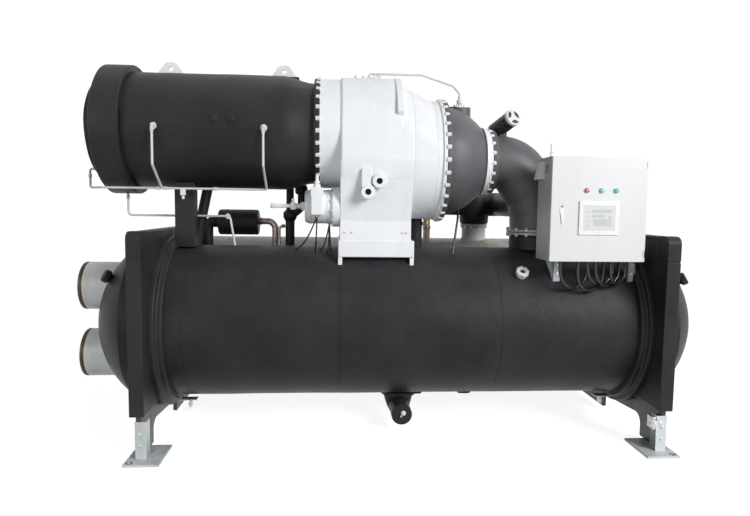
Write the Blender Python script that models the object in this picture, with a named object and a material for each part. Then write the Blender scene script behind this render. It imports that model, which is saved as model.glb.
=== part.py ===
"""Water-cooled centrifugal chiller: a foam-covered evaporator and a bare condenser side by side between
end plates, with a motor, gear casing, compressor and control panel standing on the evaporator.

Metres, +Z up. X runs along the shells and Y from the front to the back. Sizes below are measured from
the middle of the evaporator's axis, and the empty "plant" moves the whole machine so that the world
origin is on the floor, under the middle of its box.
"""
from math import cos, pi, radians, sin, sqrt, tan

import bmesh
import bpy
from mathutils import Quaternion, Vector

GAP = 0.0003

# Facets round each kind of turned piece and along each bend
SHELL_SIDES = 44
HEAD_SIDES = 30
MOTOR_SIDES = 36
CASING_SIDES = 32
ELBOW_SIDES = 24
NOZZLE_SIDES = 20
DISCHARGE_SIDES = 18
PIPE_SIDES = 10
TUBE_SIDES = 8
DISH_STEPS = 5
BEND_STEPS = 4
ELBOW_STEPS = 7

# Evaporator. Whatever stands on it is measured from its crown.
SHEET_SPAN = 3.660
SHEET_THICK = 0.095
SHEET_OUTER = SHEET_SPAN / 2
SHEET_INNER = SHEET_OUTER - SHEET_THICK
SHELL_CLEARANCE = 0.249
EVAP_RADIUS = 0.565
EVAP_AXIS_Z = SHELL_CLEARANCE + EVAP_RADIUS
CROWN = EVAP_AXIS_Z + EVAP_RADIUS
RING_RADIUS = EVAP_RADIUS + 0.075
RING_WIDTH = 0.036
SHEET_FRONT = RING_RADIUS + 0.090
SHEET_BACK = RING_RADIUS + 0.010
SHEET_TOP = CROWN + 0.126
SHEET_CORNER = 0.055
LEG_STEEL = 0.030
LEG_STEEL_SETBACK = 0.020
FOAM_BOTTOM = 0.300
FRONT_LEG_WIDTH = 0.300
MIDDLE_LEG_FRONT = SHEET_BACK - 0.470
MIDDLE_LEG_BOTTOM = 0.030
ARCH_HEIGHT = 0.165
ARCH_CORNER = 0.090

# Height inside the shell at which pipes and posts that stand on it start, before its outside cuts them
SEAT_START = EVAP_AXIS_Z + EVAP_RADIUS / 10

# Evaporator heads and water nozzles
HEAD_FLANGE_RADIUS = EVAP_RADIUS + 0.037
HEAD_FLANGE = 0.042
HEAD_RADIUS = EVAP_RADIUS + 0.007
HEAD_STRAIGHT = 0.078
HEAD_DISH = 0.290
NOZZLE_RADIUS = 0.178
NOZZLE_WALL = 0.010
NOZZLE_SPACING = 0.509
NOZZLE_PROUD = 0.1247
NOZZLE_GROOVE = 0.004
NOZZLE_GROOVE_WIDTH = 0.014
NOZZLE_LIP = 0.016
PLUG_RADIUS = 0.048
PLUG_FORWARD = 0.300
PLUG_RISE = 0.342
PLUG_LENGTH = 0.062

# Feet
FOOT_WIDTH = 0.230
FOOT_DEPTH = 0.330
FOOT_THICK = 0.016
FOOT_OVERHANG = 0.080
FOOT_INSET = 0.040
FOOT_HOLE_RADIUS = 0.013
FOOT_HOLE_EDGE = 0.035
ANGLE_LEG = 0.075
ANGLE_THICK = 0.008
ANGLE_HEIGHT = 0.265

# Condenser
COND_RADIUS = 0.450
COND_Y = SHEET_BACK + COND_RADIUS + 0.060
COND_AXIS_Z = CROWN + 0.011 - COND_RADIUS
COND_SHEET_THICK = 0.045
COND_FLANGE_RADIUS = COND_RADIUS + 0.030
COND_SHEET_BACK = COND_Y + COND_FLANGE_RADIUS
COND_SHEET_TOP = CROWN + 0.036
COND_SHEET_BOTTOM = 0.330
COND_SHEET_CORNER = 0.080
COND_LEG_DEPTH = 0.300
COND_LEG_ROUND = 0.120
COND_HEAD_RADIUS = COND_RADIUS - 0.015
COND_HEAD_FLANGE = 0.050
COND_HEAD_STRAIGHT = 0.070
COND_HEAD_DISH = 0.150
COND_NOZZLE_RADIUS = 0.137
COND_NOZZLE_SPACING = 0.400
COND_NOZZLE_PROUD = 0.1175

# Gear casing and compressor
CASING_FACE = -0.470
CASING_LEFT = CASING_FACE - 0.150
CASING_RIGHT = CASING_FACE + 0.515
CASING_EDGE = 0.012
MOTOR_AXIS_Z = CROWN + 0.845
VOLUTE_AXIS_Z = MOTOR_AXIS_Z - 0.184
VOLUTE_RADIUS = 0.445
SLOPE_END = CASING_RIGHT + 0.150
SLOPE_SHARE = 0.72
VOLUTE_FLANGE_RADIUS = VOLUTE_RADIUS + 0.011
VOLUTE_FLANGE_THICK = 0.020
VOLUTE_RIGHT = CASING_RIGHT + 0.230
RIB_RIGHT = CASING_RIGHT - 0.075
RIB_THICK = 0.048
RIB_DROP = 0.035
RIB_END_ANGLE = 20.0
BOSS_RADIUS = 0.050
BOSS_BORE = 0.021
BOSS_FRONT = VOLUTE_RADIUS + 0.025
BOSS_LENGTH = BOSS_RADIUS + 0.070
BOSS_BORE_DEPTH = BOSS_LENGTH / 2
LOWER_BOSS = (CASING_FACE + 0.192, VOLUTE_AXIS_Z - 0.254)
UPPER_BOSS = (CASING_FACE + 0.270, VOLUTE_AXIS_Z - 0.178)
PEDESTAL_TOP = VOLUTE_AXIS_Z - 0.180
PEDESTAL_CREASE = VOLUTE_AXIS_Z - VOLUTE_RADIUS - 0.011
PEDESTAL_LEDGE = 0.005
PEDESTAL_STEP = CROWN + 0.064
PEDESTAL_NECK_FRONT = VOLUTE_RADIUS - 0.110
PEDESTAL_FRONT = PEDESTAL_NECK_FRONT + 0.015
PEDESTAL_BLOCK_BOTTOM = CROWN - 0.056
PEDESTAL_SIDE = 0.012
SADDLE_THICK = 0.030

# Motor
MOTOR_RADIUS = 0.418
MOTOR_LENGTH = 1.295
MOTOR_RIGHT = CASING_LEFT - 0.040
MOTOR_LEFT = MOTOR_RIGHT - MOTOR_LENGTH
MOTOR_TAPER_START = MOTOR_RIGHT - 0.240
MOTOR_NECK_RADIUS = MOTOR_RADIUS - 0.048
MOTOR_FLANGE_RADIUS = MOTOR_RADIUS - 0.011
CASING_TOP_RADIUS = MOTOR_FLANGE_RADIUS + 0.011
RIB_RADIUS = CASING_TOP_RADIUS + RIB_DROP + 0.005
MOTOR_BAND_RADIUS = MOTOR_RADIUS + 0.046
MOTOR_BAND_LEFT = MOTOR_LEFT - 0.225
MOTOR_CAP_RADIUS = MOTOR_RADIUS - 0.038
MOTOR_CAP_LEFT = MOTOR_BAND_LEFT - 0.042
LUG_PLACES = (MOTOR_LEFT + 0.235, MOTOR_RIGHT - 0.230)
LUG_RISE = 0.081
LUG_WIDTH = 0.150
LUG_THICK = 0.022
LUG_HOLE_RADIUS = 0.017
LUG_ROUND = 0.045
POST_LEFT = -SHEET_INNER + 0.067
POST_WIDTH = 0.145
POST_FRONT = -0.165
POST_DEPTH = 0.095

# Suction side
COVER_RING_RADIUS = VOLUTE_RADIUS + 0.013
COVER_RING_THICK = 0.036
COVER_RIGHT = VOLUTE_RIGHT + 0.330
COVER_BASE_RADIUS = VOLUTE_RADIUS - 0.040
COVER_THROAT_RADIUS = 0.245
COVER_STEPS = 7
VANE_RING_RADIUS = COVER_THROAT_RADIUS + 0.003
VANE_RING_THICK = 0.048
ELBOW_RADIUS = 0.204
ELBOW_FOOT_RADIUS = ELBOW_RADIUS + 0.012
ELBOW_FLANGE_RADIUS = ELBOW_RADIUS + 0.042
ELBOW_FLANGE_THICK = 0.045
ELBOW_X = COVER_RIGHT + 0.480
ELBOW_BEND = 0.380
ELBOW_FOOT_Z = CROWN + 0.126
STUB_FLANGE_THICK = 0.034
STUB_RADIUS = ELBOW_FOOT_RADIUS
STUB_FLANGE_RADIUS = STUB_RADIUS + 0.010
COLLAR_RADIUS = 0.085
COLLAR_X = VOLUTE_RIGHT + 0.165
COLLAR_TOP = VOLUTE_AXIS_Z + COVER_BASE_RADIUS + 0.026
COLLAR_KNEE = COLLAR_TOP + 0.124
BALANCE_LEFT = CASING_FACE + 0.215
BALANCE_RIGHT = CASING_RIGHT + 0.101
BALANCE_RISE = 0.042
ACTUATOR_RADIUS = 0.056
ACTUATOR_ROOT = (COVER_RIGHT + 0.085, 0.060, VOLUTE_AXIS_Z + 0.206)
ACTUATOR_END = (COVER_RIGHT + 0.217, -0.150, VOLUTE_AXIS_Z + 0.326)

# Oil pump
PUMP_Y = -0.215
PUMP_Z = VOLUTE_AXIS_Z - 0.360
PUMP_RADIUS = 0.122
PUMP_FLANGE_RADIUS = 0.145
PUMP_FLANGE_THICK = 0.055
PUMP_LEFT = CASING_FACE - 0.252
TERMINAL_WIDTH = 0.082
TERMINAL_DEPTH = 0.060
TERMINAL_HEIGHT = 0.190
TERMINAL_X = PUMP_LEFT + 0.057
VALVE_LEFT = PUMP_LEFT - 0.253
VALVE_Z = PUMP_Z + 0.003

# Pipework
TUBE_RADIUS = 0.0085
COOLING_FRONT = MOTOR_RADIUS + 0.034
COOLING_Y = -0.240
COOLING_Z = MOTOR_AXIS_Z - MOTOR_RADIUS - 0.009
COOLING_TOP = MOTOR_AXIS_Z - 0.012
COOLING_KNEE = COOLING_Z + 0.153
COOLING_DROPS = (MOTOR_LEFT + 0.220, MOTOR_RIGHT - 0.336)
COOLING_END_X = MOTOR_CAP_LEFT - 0.040
COOLING_END_Y = -0.150
COOLING_END_Z = MOTOR_AXIS_Z - 0.294
THIN_LINE_Z = CROWN + 0.221
THIN_LINE_LEFT = MOTOR_LEFT - 0.095
THIN_LINE_RIGHT = -SHEET_INNER + 0.435
MOTOR_DRAIN_RADIUS = 0.038
MOTOR_DRAIN_Y = 0.060
MOTOR_DRAIN_X = -SHEET_INNER + 0.270
MOTOR_DRAIN_ELBOW = CROWN + 0.321
MOTOR_DRAIN_FOOT = CROWN + 0.091
MOTOR_DRAIN_SLANT = 0.050
DRUM_Y = SHEET_BACK - 0.230
DRUM_Z = CROWN + 0.166
DRUM_RADIUS = 0.104
DRUM_LEFT = -SHEET_INNER + 0.275
DRUM_RIGHT = DRUM_LEFT + 0.325
DRUM_PIPE_RADIUS = 0.045
DRUM_PIPE_BEND = 0.080
DRUM_PIPE_REACH = 0.095
DRUM_BARE_RADIUS = 0.027
DRUM_BARE_BEND = 0.095
DRUM_BARE_REACH = 0.135
RISER_X = MOTOR_RIGHT - 0.210
RISER_Y = 0.300
RISER_RADIUS = 0.037
RISER_VALVE_Z = CROWN + 0.231
DISCHARGE_RADIUS = 0.105
DISCHARGE_X = CASING_RIGHT + 0.103
DISCHARGE_Z = VOLUTE_AXIS_Z - 0.320
DISCHARGE_DROP_X = COVER_RIGHT + 0.245
VALVE_FOAM_RADIUS = DISCHARGE_RADIUS + 0.033
VALVE_FOAM_HEIGHT = 0.265
DISCHARGE_BEND = 0.160
COLUMN_TOP = DISCHARGE_Z - DISCHARGE_BEND - 0.025
COLUMN_RADIUS = DISCHARGE_RADIUS + 0.010
COLUMN_FLANGE_RADIUS = COLUMN_RADIUS + 0.015
COLUMN_FLANGE_THICK = 0.028
BYPASS_RADIUS = 0.085
BYPASS_Z = DISCHARGE_Z - 0.012
BYPASS_BEND = 0.100
EQUALISER_X = VOLUTE_RIGHT + 0.110
EQUALISER_RADIUS = 0.034
VOLUTE_DRAIN_X = CASING_RIGHT + 0.079
VOLUTE_DRAIN_RADIUS = 0.044
DRAIN_X = 0.000
DRAIN_TOP_RADIUS = 0.125
DRAIN_RADIUS = 0.077
DRAIN_FRONT = -0.300
DRAIN_Z = SHELL_CLEARANCE - 0.103
DRAIN_BEND = 0.085
SIGHT_X = 0.836
SIGHT_ANGLE = 44.0
SIGHT_RADIUS = 0.043
SIGHT_BORE = 0.020
SIGHT_RISE = 0.050

# Control panel
PANEL_LEFT = 0.958
PANEL_WIDTH = 0.674
PANEL_BOTTOM = CROWN - 0.053
PANEL_HEIGHT = 0.717
PANEL_BACK = -0.345
PANEL_DEPTH = 0.2515
DOOR_THICK = 0.016
DOOR_GAP = 0.0085
PANEL_WALL = 0.006
HINGE_INSET = 0.008
HINGE_NOTCH = 0.044
HINGE_NOTCH_WIDTH = 0.028
HINGE_BARREL_RADIUS = 0.007
HINGE_PIN_RADIUS = 0.004
HINGE_CLEARANCE = 0.0015
HINGE_PIN_REACH = 0.010
HINGE_HEIGHTS = (0.055, PANEL_HEIGHT - 0.055)
SCREEN_WIDTH = 0.280
SCREEN_HEIGHT = 0.232
SCREEN_PROUD = 0.009
SCREEN_X = 0.335
SCREEN_Z = 0.300
LIGHT_RADIUS = 0.018
LIGHT_PROUD = 0.014
LIGHT_Z = 0.487
LIGHT_PLACES = (("pilot_light_red", 0.243), ("pilot_light_run", 0.347), ("pilot_light_ready", 0.449))
LOCK_WIDTH = 0.030
LOCK_HEIGHT = 0.112
LOCK_X = 0.075
LOCK_Z = 0.307
LOCK_PROUD = 0.006
BRACKET_WIDTH = 0.057
BRACKET_THICK = 0.008
BRACKET_FRONT = PANEL_BACK - 0.095
BRACKET_DEPTH = 0.136
BRACKET_PLACES = (0.095, 0.648)
HOOD_TOP = 0.690
HOOD_HEIGHT = 0.125
HOOD_WIDTH = 0.090
HOOD_REACH = 0.045
HOOD_TOP_REACH = 0.010
HOOD_Y = PANEL_BACK - 0.075

# Cables hanging under the control panel, each a loop from a front gland to a back one. The routes are
# lists chosen by hand, which scene.py repeats: x from the panel's left side, y behind its front and z
# from its underside.
CABLE_RADIUS = 0.011
CABLE_SPACING = 0.045
CABLE_LEAD = 0.015
GLAND_RADIUS = 0.016
GLAND_HEIGHT = 0.014
CABLE_ROUTES = (
    ((0.098, 0.022, -0.0143), (0.098, 0.022, -0.038), (0.098, 0.022, -0.061), (0.114, 0.030, -0.128),
     (0.158, 0.050, -0.177), (0.219, 0.079, -0.195), (0.279, 0.107, -0.177), (0.324, 0.127, -0.128),
     (0.340, 0.135, -0.061), (0.340, 0.135, -0.038), (0.340, 0.135, -0.0143)),
    ((0.224, 0.022, -0.0143), (0.224, 0.022, -0.050), (0.224, 0.022, -0.085), (0.240, 0.030, -0.151),
     (0.283, 0.050, -0.198), (0.342, 0.079, -0.216), (0.401, 0.107, -0.198), (0.444, 0.127, -0.151),
     (0.460, 0.135, -0.085), (0.460, 0.135, -0.050), (0.460, 0.135, -0.0143)),
    ((0.292, 0.022, -0.0143), (0.292, 0.022, -0.026), (0.292, 0.022, -0.037), (0.308, 0.030, -0.104),
     (0.352, 0.050, -0.152), (0.412, 0.079, -0.170), (0.472, 0.107, -0.152), (0.516, 0.127, -0.104),
     (0.532, 0.135, -0.037), (0.532, 0.135, -0.026), (0.532, 0.135, -0.0143)),
    ((0.350, 0.022, -0.0143), (0.350, 0.022, -0.033), (0.350, 0.022, -0.051), (0.365, 0.030, -0.114),
     (0.407, 0.050, -0.161), (0.464, 0.079, -0.178), (0.521, 0.107, -0.161), (0.563, 0.127, -0.114),
     (0.578, 0.135, -0.051), (0.578, 0.135, -0.033), (0.578, 0.135, -0.0143)),
    ((0.459, 0.022, -0.0143), (0.459, 0.022, -0.041), (0.459, 0.022, -0.068), (0.470, 0.030, -0.117),
     (0.499, 0.050, -0.153), (0.539, 0.079, -0.166), (0.580, 0.107, -0.153), (0.609, 0.127, -0.117),
     (0.620, 0.135, -0.068), (0.620, 0.135, -0.041), (0.620, 0.135, -0.0143)),
)

# Sizes that follow from the ones above
HEAD_BASE = SHEET_OUTER + HEAD_FLANGE + HEAD_STRAIGHT
HEAD_END = HEAD_BASE + HEAD_DISH + GAP
NOZZLE_REACH = HEAD_END + NOZZLE_PROUD
LEG_CENTRE = SHEET_INNER + 0.045
COND_SHEET_CENTRE = LEG_CENTRE
COND_SHEET_INNER = COND_SHEET_CENTRE - COND_SHEET_THICK / 2
COND_SHEET_OUTER = COND_SHEET_CENTRE + COND_SHEET_THICK / 2
COND_HEAD_BASE = COND_SHEET_OUTER + COND_HEAD_FLANGE + COND_HEAD_STRAIGHT
COND_NOZZLE_REACH = COND_HEAD_BASE + COND_HEAD_DISH + COND_NOZZLE_PROUD
CASING_TOP = MOTOR_AXIS_Z + CASING_TOP_RADIUS
PANEL_FRONT = PANEL_BACK - PANEL_DEPTH
DOOR_BACK = PANEL_FRONT - DOOR_GAP
DOOR_FRONT = DOOR_BACK - DOOR_THICK
PANEL_RIGHT = PANEL_LEFT + PANEL_WIDTH
HINGE_X = PANEL_RIGHT - HINGE_INSET
HINGE_Y = DOOR_FRONT + DOOR_THICK / 2
MACHINE_FRONT = -(SHEET_FRONT + FOOT_OVERHANG)
MACHINE_BACK = COND_SHEET_BACK + FOOT_OVERHANG
MACHINE_MIDDLE_X = (HEAD_END - NOZZLE_REACH) / 2
MACHINE_MIDDLE_Y = (MACHINE_FRONT + MACHINE_BACK) / 2

X_AXIS = Vector((1, 0, 0))
Y_AXIS = Vector((0, 1, 0))
Z_AXIS = Vector((0, 0, 1))

# Base colour, roughness and metallic of each finish
FINISHES = {
    "foam": ((0.022, 0.022, 0.025), 0.62, 0.0),
    "casing_white": ((0.78, 0.80, 0.83), 0.38, 0.0),
    "panel_white": ((0.84, 0.86, 0.86), 0.35, 0.0),
    "bare_grey": ((0.52, 0.50, 0.47), 0.50, 0.0),
    "foot_grey": ((0.60, 0.62, 0.64), 0.45, 0.0),
    "nozzle_green": ((0.58, 0.61, 0.57), 0.48, 0.0),
    "black_paint": ((0.030, 0.030, 0.033), 0.50, 0.0),
    "tube_white": ((0.72, 0.75, 0.76), 0.40, 0.0),
    "bare_pipe": ((0.36, 0.31, 0.28), 0.42, 0.6),
    "cable": ((0.015, 0.015, 0.016), 0.45, 0.0),
    "screen": ((0.80, 0.82, 0.80), 0.25, 0.0),
    "lens_red": ((0.70, 0.05, 0.12), 0.20, 0.0),
    "lens_green": ((0.10, 0.62, 0.58), 0.20, 0.0),
}


def clear_scene():
    for thing in list(bpy.data.objects):
        bpy.data.objects.remove(thing, do_unlink=True)


def finish_material(name, finish):
    colour, roughness, metallic = FINISHES[finish]
    material = bpy.data.materials.new(name + "_finish")
    material.use_nodes = True
    shader = material.node_tree.nodes["Principled BSDF"]
    shader.inputs["Base Color"].default_value = (*colour, 1.0)
    shader.inputs["Roughness"].default_value = roughness
    shader.inputs["Metallic"].default_value = metallic
    material.diffuse_color = (*colour, 1.0)
    return material


def place(name, data, finish, location=(0, 0, 0), axis=Z_AXIS, parent=None):
    """Adds an object whose own Z points along axis, under the plant's empty or another one."""
    piece = bpy.data.objects.new(name, data)
    bpy.context.collection.objects.link(piece)
    piece.parent = parent or plant
    piece.location = location
    if Vector(axis) != Z_AXIS:
        piece.rotation_euler = Vector(axis).to_track_quat("Z", "Y").to_euler()
    if finish:
        data.materials.append(finish_material(name, finish))
    return piece


def as_cutter(piece):
    piece.hide_render = True
    piece.display_type = "WIRE"
    return piece


def combine(piece, other, operation):
    step = piece.modifiers.new(operation.lower(), "BOOLEAN")
    step.operation = operation
    step.solver = "EXACT"
    step.object = as_cutter(other)


def cut(piece, *cutters):
    for cutter in cutters:
        combine(piece, cutter, "DIFFERENCE")


def fuse(piece, *others):
    for other in others:
        combine(piece, other, "UNION")


def finished_mesh(bm, name, smooth_angle=32):
    bmesh.ops.remove_doubles(bm, verts=bm.verts, dist=1e-6)
    bmesh.ops.recalc_face_normals(bm, faces=bm.faces)
    mesh = bpy.data.meshes.new(name)
    bm.to_mesh(mesh)
    bm.free()
    mesh.shade_smooth()
    mesh.set_sharp_from_angle(angle=radians(smooth_angle))
    return mesh


def turned_mesh(name, outline, sides, hollow):
    """Spins an outline of (height, radius) points about Z; a hollow one is a closed loop off the axis."""
    bm = bmesh.new()
    points = [bm.verts.new((radius, 0, height)) for height, radius in outline]
    pairs = list(zip(points, points[1:]))
    if hollow:
        pairs.append((points[-1], points[0]))
    edges = [bm.edges.new(pair) for pair in pairs]
    bmesh.ops.spin(bm, geom=points + edges, cent=(0, 0, 0), axis=(0, 0, 1), angle=2 * pi, steps=sides,
                   use_merge=True)
    return finished_mesh(bm, name)


def turned(name, outline, finish, location, axis, sides=32, hollow=False, parent=None):
    if not hollow:
        outline = [(outline[0][0], 0)] + list(outline) + [(outline[-1][0], 0)]
    return place(name, turned_mesh(name, outline, sides, hollow), finish, location, axis, parent)


def cylinder(name, radius, length, finish, location, axis, sides=24, parent=None):
    return turned(name, [(0, radius), (length, radius)], finish, location, axis, sides, parent=parent)


def lofted_mesh(name, rings):
    """Joins rings of as many points each, and closes the first and the last."""
    bm = bmesh.new()
    loops = [[bm.verts.new(point) for point in ring] for ring in rings]
    for near, far in zip(loops, loops[1:]):
        for i in range(len(near)):
            j = (i + 1) % len(near)
            bm.faces.new((near[i], near[j], far[j], far[i]))
    bm.faces.new(loops[0])
    bm.faces.new(loops[-1])
    return finished_mesh(bm, name)


def slab(name, outline, low, high, finish, plane="YZ", location=(0, 0, 0), parent=None):
    """Extrudes a flat outline in the YZ or XZ plane, across it from low to high."""
    spot = (lambda a, b, t: (t, a, b)) if plane == "YZ" else (lambda a, b, t: (a, t, b))
    bm = bmesh.new()
    face = bm.faces.new([bm.verts.new(spot(a, b, low)) for a, b in outline])
    grown = bmesh.ops.extrude_face_region(bm, geom=[face])
    moved = [item for item in grown["geom"] if isinstance(item, bmesh.types.BMVert)]
    bmesh.ops.translate(bm, verts=moved, vec=Vector(spot(0, 0, high - low)))
    return place(name, finished_mesh(bm, name), finish, location, parent=parent)


def block(name, low, high, finish, edge=0.0, parent=None, origin=(0, 0, 0)):
    """A box between two corners, with rounded edges where edge is given; origin is where it turns."""
    size = Vector(high) - Vector(low)
    middle = (Vector(high) + Vector(low)) / 2 - Vector(origin)
    bm = bmesh.new()
    bmesh.ops.create_cube(bm, size=1.0)
    bmesh.ops.scale(bm, vec=size, verts=bm.verts)
    bmesh.ops.translate(bm, vec=middle, verts=bm.verts)
    if edge:
        bmesh.ops.bevel(bm, geom=bm.edges, offset=edge, segments=2, profile=0.5, affect="EDGES")
    base = (0, 0, 0) if parent else origin
    return place(name, finished_mesh(bm, name), finish, base, parent=parent)


def arc(centre, radius, start, end, steps):
    """Points of a flat arc, angles in degrees."""
    turns = [radians(start + (end - start) * i / steps) for i in range(steps + 1)]
    return [(centre[0] + radius * cos(t), centre[1] + radius * sin(t)) for t in turns]


def rounded_path(points, bend, steps=6):
    """The straight path through points with each inner corner turned on an arc of radius bend."""
    corners = [Vector(point) for point in points]
    path = [corners[0]]
    for before, corner, after in zip(corners, corners[1:], corners[2:]):
        inward = (corner - before).normalized()
        outward = (after - corner).normalized()
        turn = inward.angle(outward)
        normal = inward.cross(outward).normalized()
        start = corner - inward * bend * tan(turn / 2)
        centre = start + normal.cross(inward) * bend
        for i in range(steps + 1):
            path.append(centre + Quaternion(normal, turn * i / steps) @ (start - centre))
    path.append(corners[-1])
    return path


def tube(name, path, radius, finish, resolution=3):
    """A round tube along a path, as a curve with a bevel and filled ends."""
    curve = bpy.data.curves.new(name, "CURVE")
    curve.dimensions = "3D"
    curve.bevel_depth = radius
    curve.bevel_resolution = resolution
    curve.use_fill_caps = True
    line = curve.splines.new("POLY")
    line.points.add(len(path) - 1)
    for spot, point in zip(line.points, path):
        spot.co = (*point, 1.0)
    return place(name, curve, finish)


def swept(name, path, radii, finish, sides=24, parent=None):
    """A round pipe along a path whose radius may change, as a mesh that other shapes can cut."""
    path = [Vector(point) for point in path]
    if not isinstance(radii, (list, tuple)):
        radii = [radii] * len(path)
    steps = [b - a for a, b in zip(path, path[1:])]
    tangents = [steps[0]] + [a.normalized() + b.normalized() for a, b in zip(steps, steps[1:])] + [steps[-1]]
    side = tangents[0].orthogonal().normalized()
    rings = []
    for point, tangent, radius in zip(path, tangents, radii):
        tangent = tangent.normalized()
        side = (side - tangent * side.dot(tangent)).normalized()
        other = tangent.cross(side)
        turns = [2 * pi * i / sides for i in range(sides)]
        rings.append([point + radius * (cos(t) * side + sin(t) * other) for t in turns])
    return place(name, lofted_mesh(name, rings), finish, parent=parent)


def smooth_route(points, spacing):
    """Reads points at an even spacing from a Catmull-Rom curve through the route's own points."""
    knots = [Vector(point) for point in points]
    knots = [2 * knots[0] - knots[1]] + knots + [2 * knots[-1] - knots[-2]]
    dense = []
    for a, b, c, d in zip(knots, knots[1:], knots[2:], knots[3:]):
        for i in range(20):
            t = i / 20
            dense.append(0.5 * (2 * b + (c - a) * t + (2 * a - 5 * b + 4 * c - d) * t * t
                                + (3 * b - 3 * c + d - a) * t ** 3))
    dense.append(knots[-2])
    lengths = [0.0]
    for a, b in zip(dense, dense[1:]):
        lengths.append(lengths[-1] + (b - a).length)
    count = max(2, round(lengths[-1] / spacing))
    route = []
    i = 0
    for k in range(count + 1):
        goal = lengths[-1] * k / count
        while i < len(dense) - 2 and lengths[i + 1] < goal:
            i += 1
        share = (goal - lengths[i]) / (lengths[i + 1] - lengths[i])
        route.append(dense[i].lerp(dense[i + 1], min(1.0, share)))
    return route


def on_circle(radius, offset):
    """Height of a circle above its centre at a sideways offset."""
    return sqrt(radius * radius - offset * offset)


def shell_cutter(name):
    """The evaporator's outside, a gap larger, which cuts the feet of what stands on it."""
    return as_cutter(cylinder(name, EVAP_RADIUS + GAP, 2 * SHEET_INNER - 2 * RING_WIDTH - 0.02, None,
                              (-SHEET_INNER + RING_WIDTH + 0.01, 0, EVAP_AXIS_Z), X_AXIS, SHELL_SIDES))


def condenser_cutter(name):
    return as_cutter(cylinder(name, COND_RADIUS + GAP, 2 * COND_SHEET_INNER, None,
                              (-COND_SHEET_INNER, COND_Y, COND_AXIS_Z), X_AXIS, SHELL_SIDES))


def motor_outline(grow):
    """Half outline of the foam-covered motor, from its end cover to its neck; grow swells it by a gap."""
    outline = [(MOTOR_LEFT + GAP, MOTOR_RADIUS + grow), (MOTOR_TAPER_START, MOTOR_RADIUS + grow)]
    taper = MOTOR_RIGHT - MOTOR_TAPER_START
    for i in range(1, 5):
        share = i / 4
        ease = share * share * (3 - 2 * share)
        radius = MOTOR_RADIUS + (MOTOR_NECK_RADIUS - MOTOR_RADIUS) * ease
        outline.append((MOTOR_TAPER_START + taper * share, radius + grow))
    return outline


def motor_cutter(name):
    return as_cutter(turned(name, motor_outline(GAP), None, (0, 0, MOTOR_AXIS_Z), X_AXIS, MOTOR_SIDES))


def end_plate_outline(front, top, foot):
    """Outline in Y and Z of an evaporator end plate: front leg, low arch and middle leg."""
    leg_inner = -front + FRONT_LEG_WIDTH
    crown = ARCH_HEIGHT
    outline = [(-front, foot), (leg_inner, foot)]
    outline += arc((leg_inner + ARCH_CORNER, crown - 0.075), ARCH_CORNER, 180, 100, 6)
    outline += [(MIDDLE_LEG_FRONT - 0.02, crown - 0.02), (MIDDLE_LEG_FRONT, crown - 0.05)]
    outline += [(MIDDLE_LEG_FRONT, MIDDLE_LEG_BOTTOM), (SHEET_BACK - GAP / 2, MIDDLE_LEG_BOTTOM)]
    outline += [(SHEET_BACK - GAP / 2, top)]
    corner = (-front + SHEET_CORNER, top - SHEET_CORNER)
    outline += arc(corner, SHEET_CORNER, 90, 180, 6)
    return outline


def add_evaporator():
    length = 2 * SHEET_INNER - 2 * GAP
    ring = RING_WIDTH
    outline = [(0, RING_RADIUS), (ring, RING_RADIUS), (ring, EVAP_RADIUS), (length - ring, EVAP_RADIUS),
               (length - ring, RING_RADIUS), (length, RING_RADIUS)]
    turned("evaporator_shell", outline, "foam", (-length / 2, 0, EVAP_AXIS_Z), X_AXIS, SHELL_SIDES)
    for side, word in ((-1, "left"), (1, "right")):
        add_evaporator_end(side, word)


def add_evaporator_end(side, word):
    inner, outer = sorted((side * SHEET_INNER, side * SHEET_OUTER))
    outline = end_plate_outline(SHEET_FRONT, SHEET_TOP, FOOT_THICK + GAP)
    plate = slab("evaporator_end_plate_" + word, outline, inner, outer, "foam")
    leg_low = side * LEG_CENTRE - LEG_STEEL / 2
    leg_high = side * LEG_CENTRE + LEG_STEEL / 2
    reach = -SHEET_FRONT + FRONT_LEG_WIDTH
    for number, (low, high) in enumerate(((inner - 0.01, leg_low), (leg_high, outer + 0.01))):
        cut(plate, block(f"leg_relief_{word}_{number}", (low, -SHEET_FRONT - 0.01, -0.01),
                         (high, reach + 0.002, FOAM_BOTTOM), None))
    cut(plate, block("leg_setback_" + word, (inner - 0.01, -SHEET_FRONT - 0.01, -0.01),
                     (outer + 0.01, -SHEET_FRONT + LEG_STEEL_SETBACK, FOAM_BOTTOM), None))

    direction = X_AXIS * side
    start = SHEET_OUTER + GAP
    head = turned("evaporator_head_" + word, head_outline(0), "foam", (side * start, 0, EVAP_AXIS_Z),
                  direction, HEAD_SIDES)
    if side < 0:
        for level, rise in (("lower", -NOZZLE_SPACING / 2), ("upper", NOZZLE_SPACING / 2)):
            add_nozzle("chilled_water_nozzle_" + level, head, rise)

    spot = Vector((0, -PLUG_FORWARD, EVAP_AXIS_Z + PLUG_RISE))
    ball = (HEAD_RADIUS ** 2 + HEAD_DISH ** 2) / (2 * HEAD_DISH)
    ball_x = side * (HEAD_END - ball)
    spread = sqrt(PLUG_FORWARD ** 2 + PLUG_RISE ** 2)
    spot.x = ball_x + side * on_circle(ball, spread)
    outwards = Vector((side * on_circle(ball, spread), -PLUG_FORWARD, PLUG_RISE)).normalized()
    outline = [(-0.02, PLUG_RADIUS * 0.62), (0.012, PLUG_RADIUS * 0.62), (0.018, PLUG_RADIUS)]
    outline += [(PLUG_LENGTH - 0.020 + b, a) for a, b in arc((PLUG_RADIUS - 0.02, 0), 0.02, 0, 90, 4)]
    fuse(head, turned("vent_plug_" + word, outline, None, spot, outwards, PIPE_SIDES))


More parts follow.
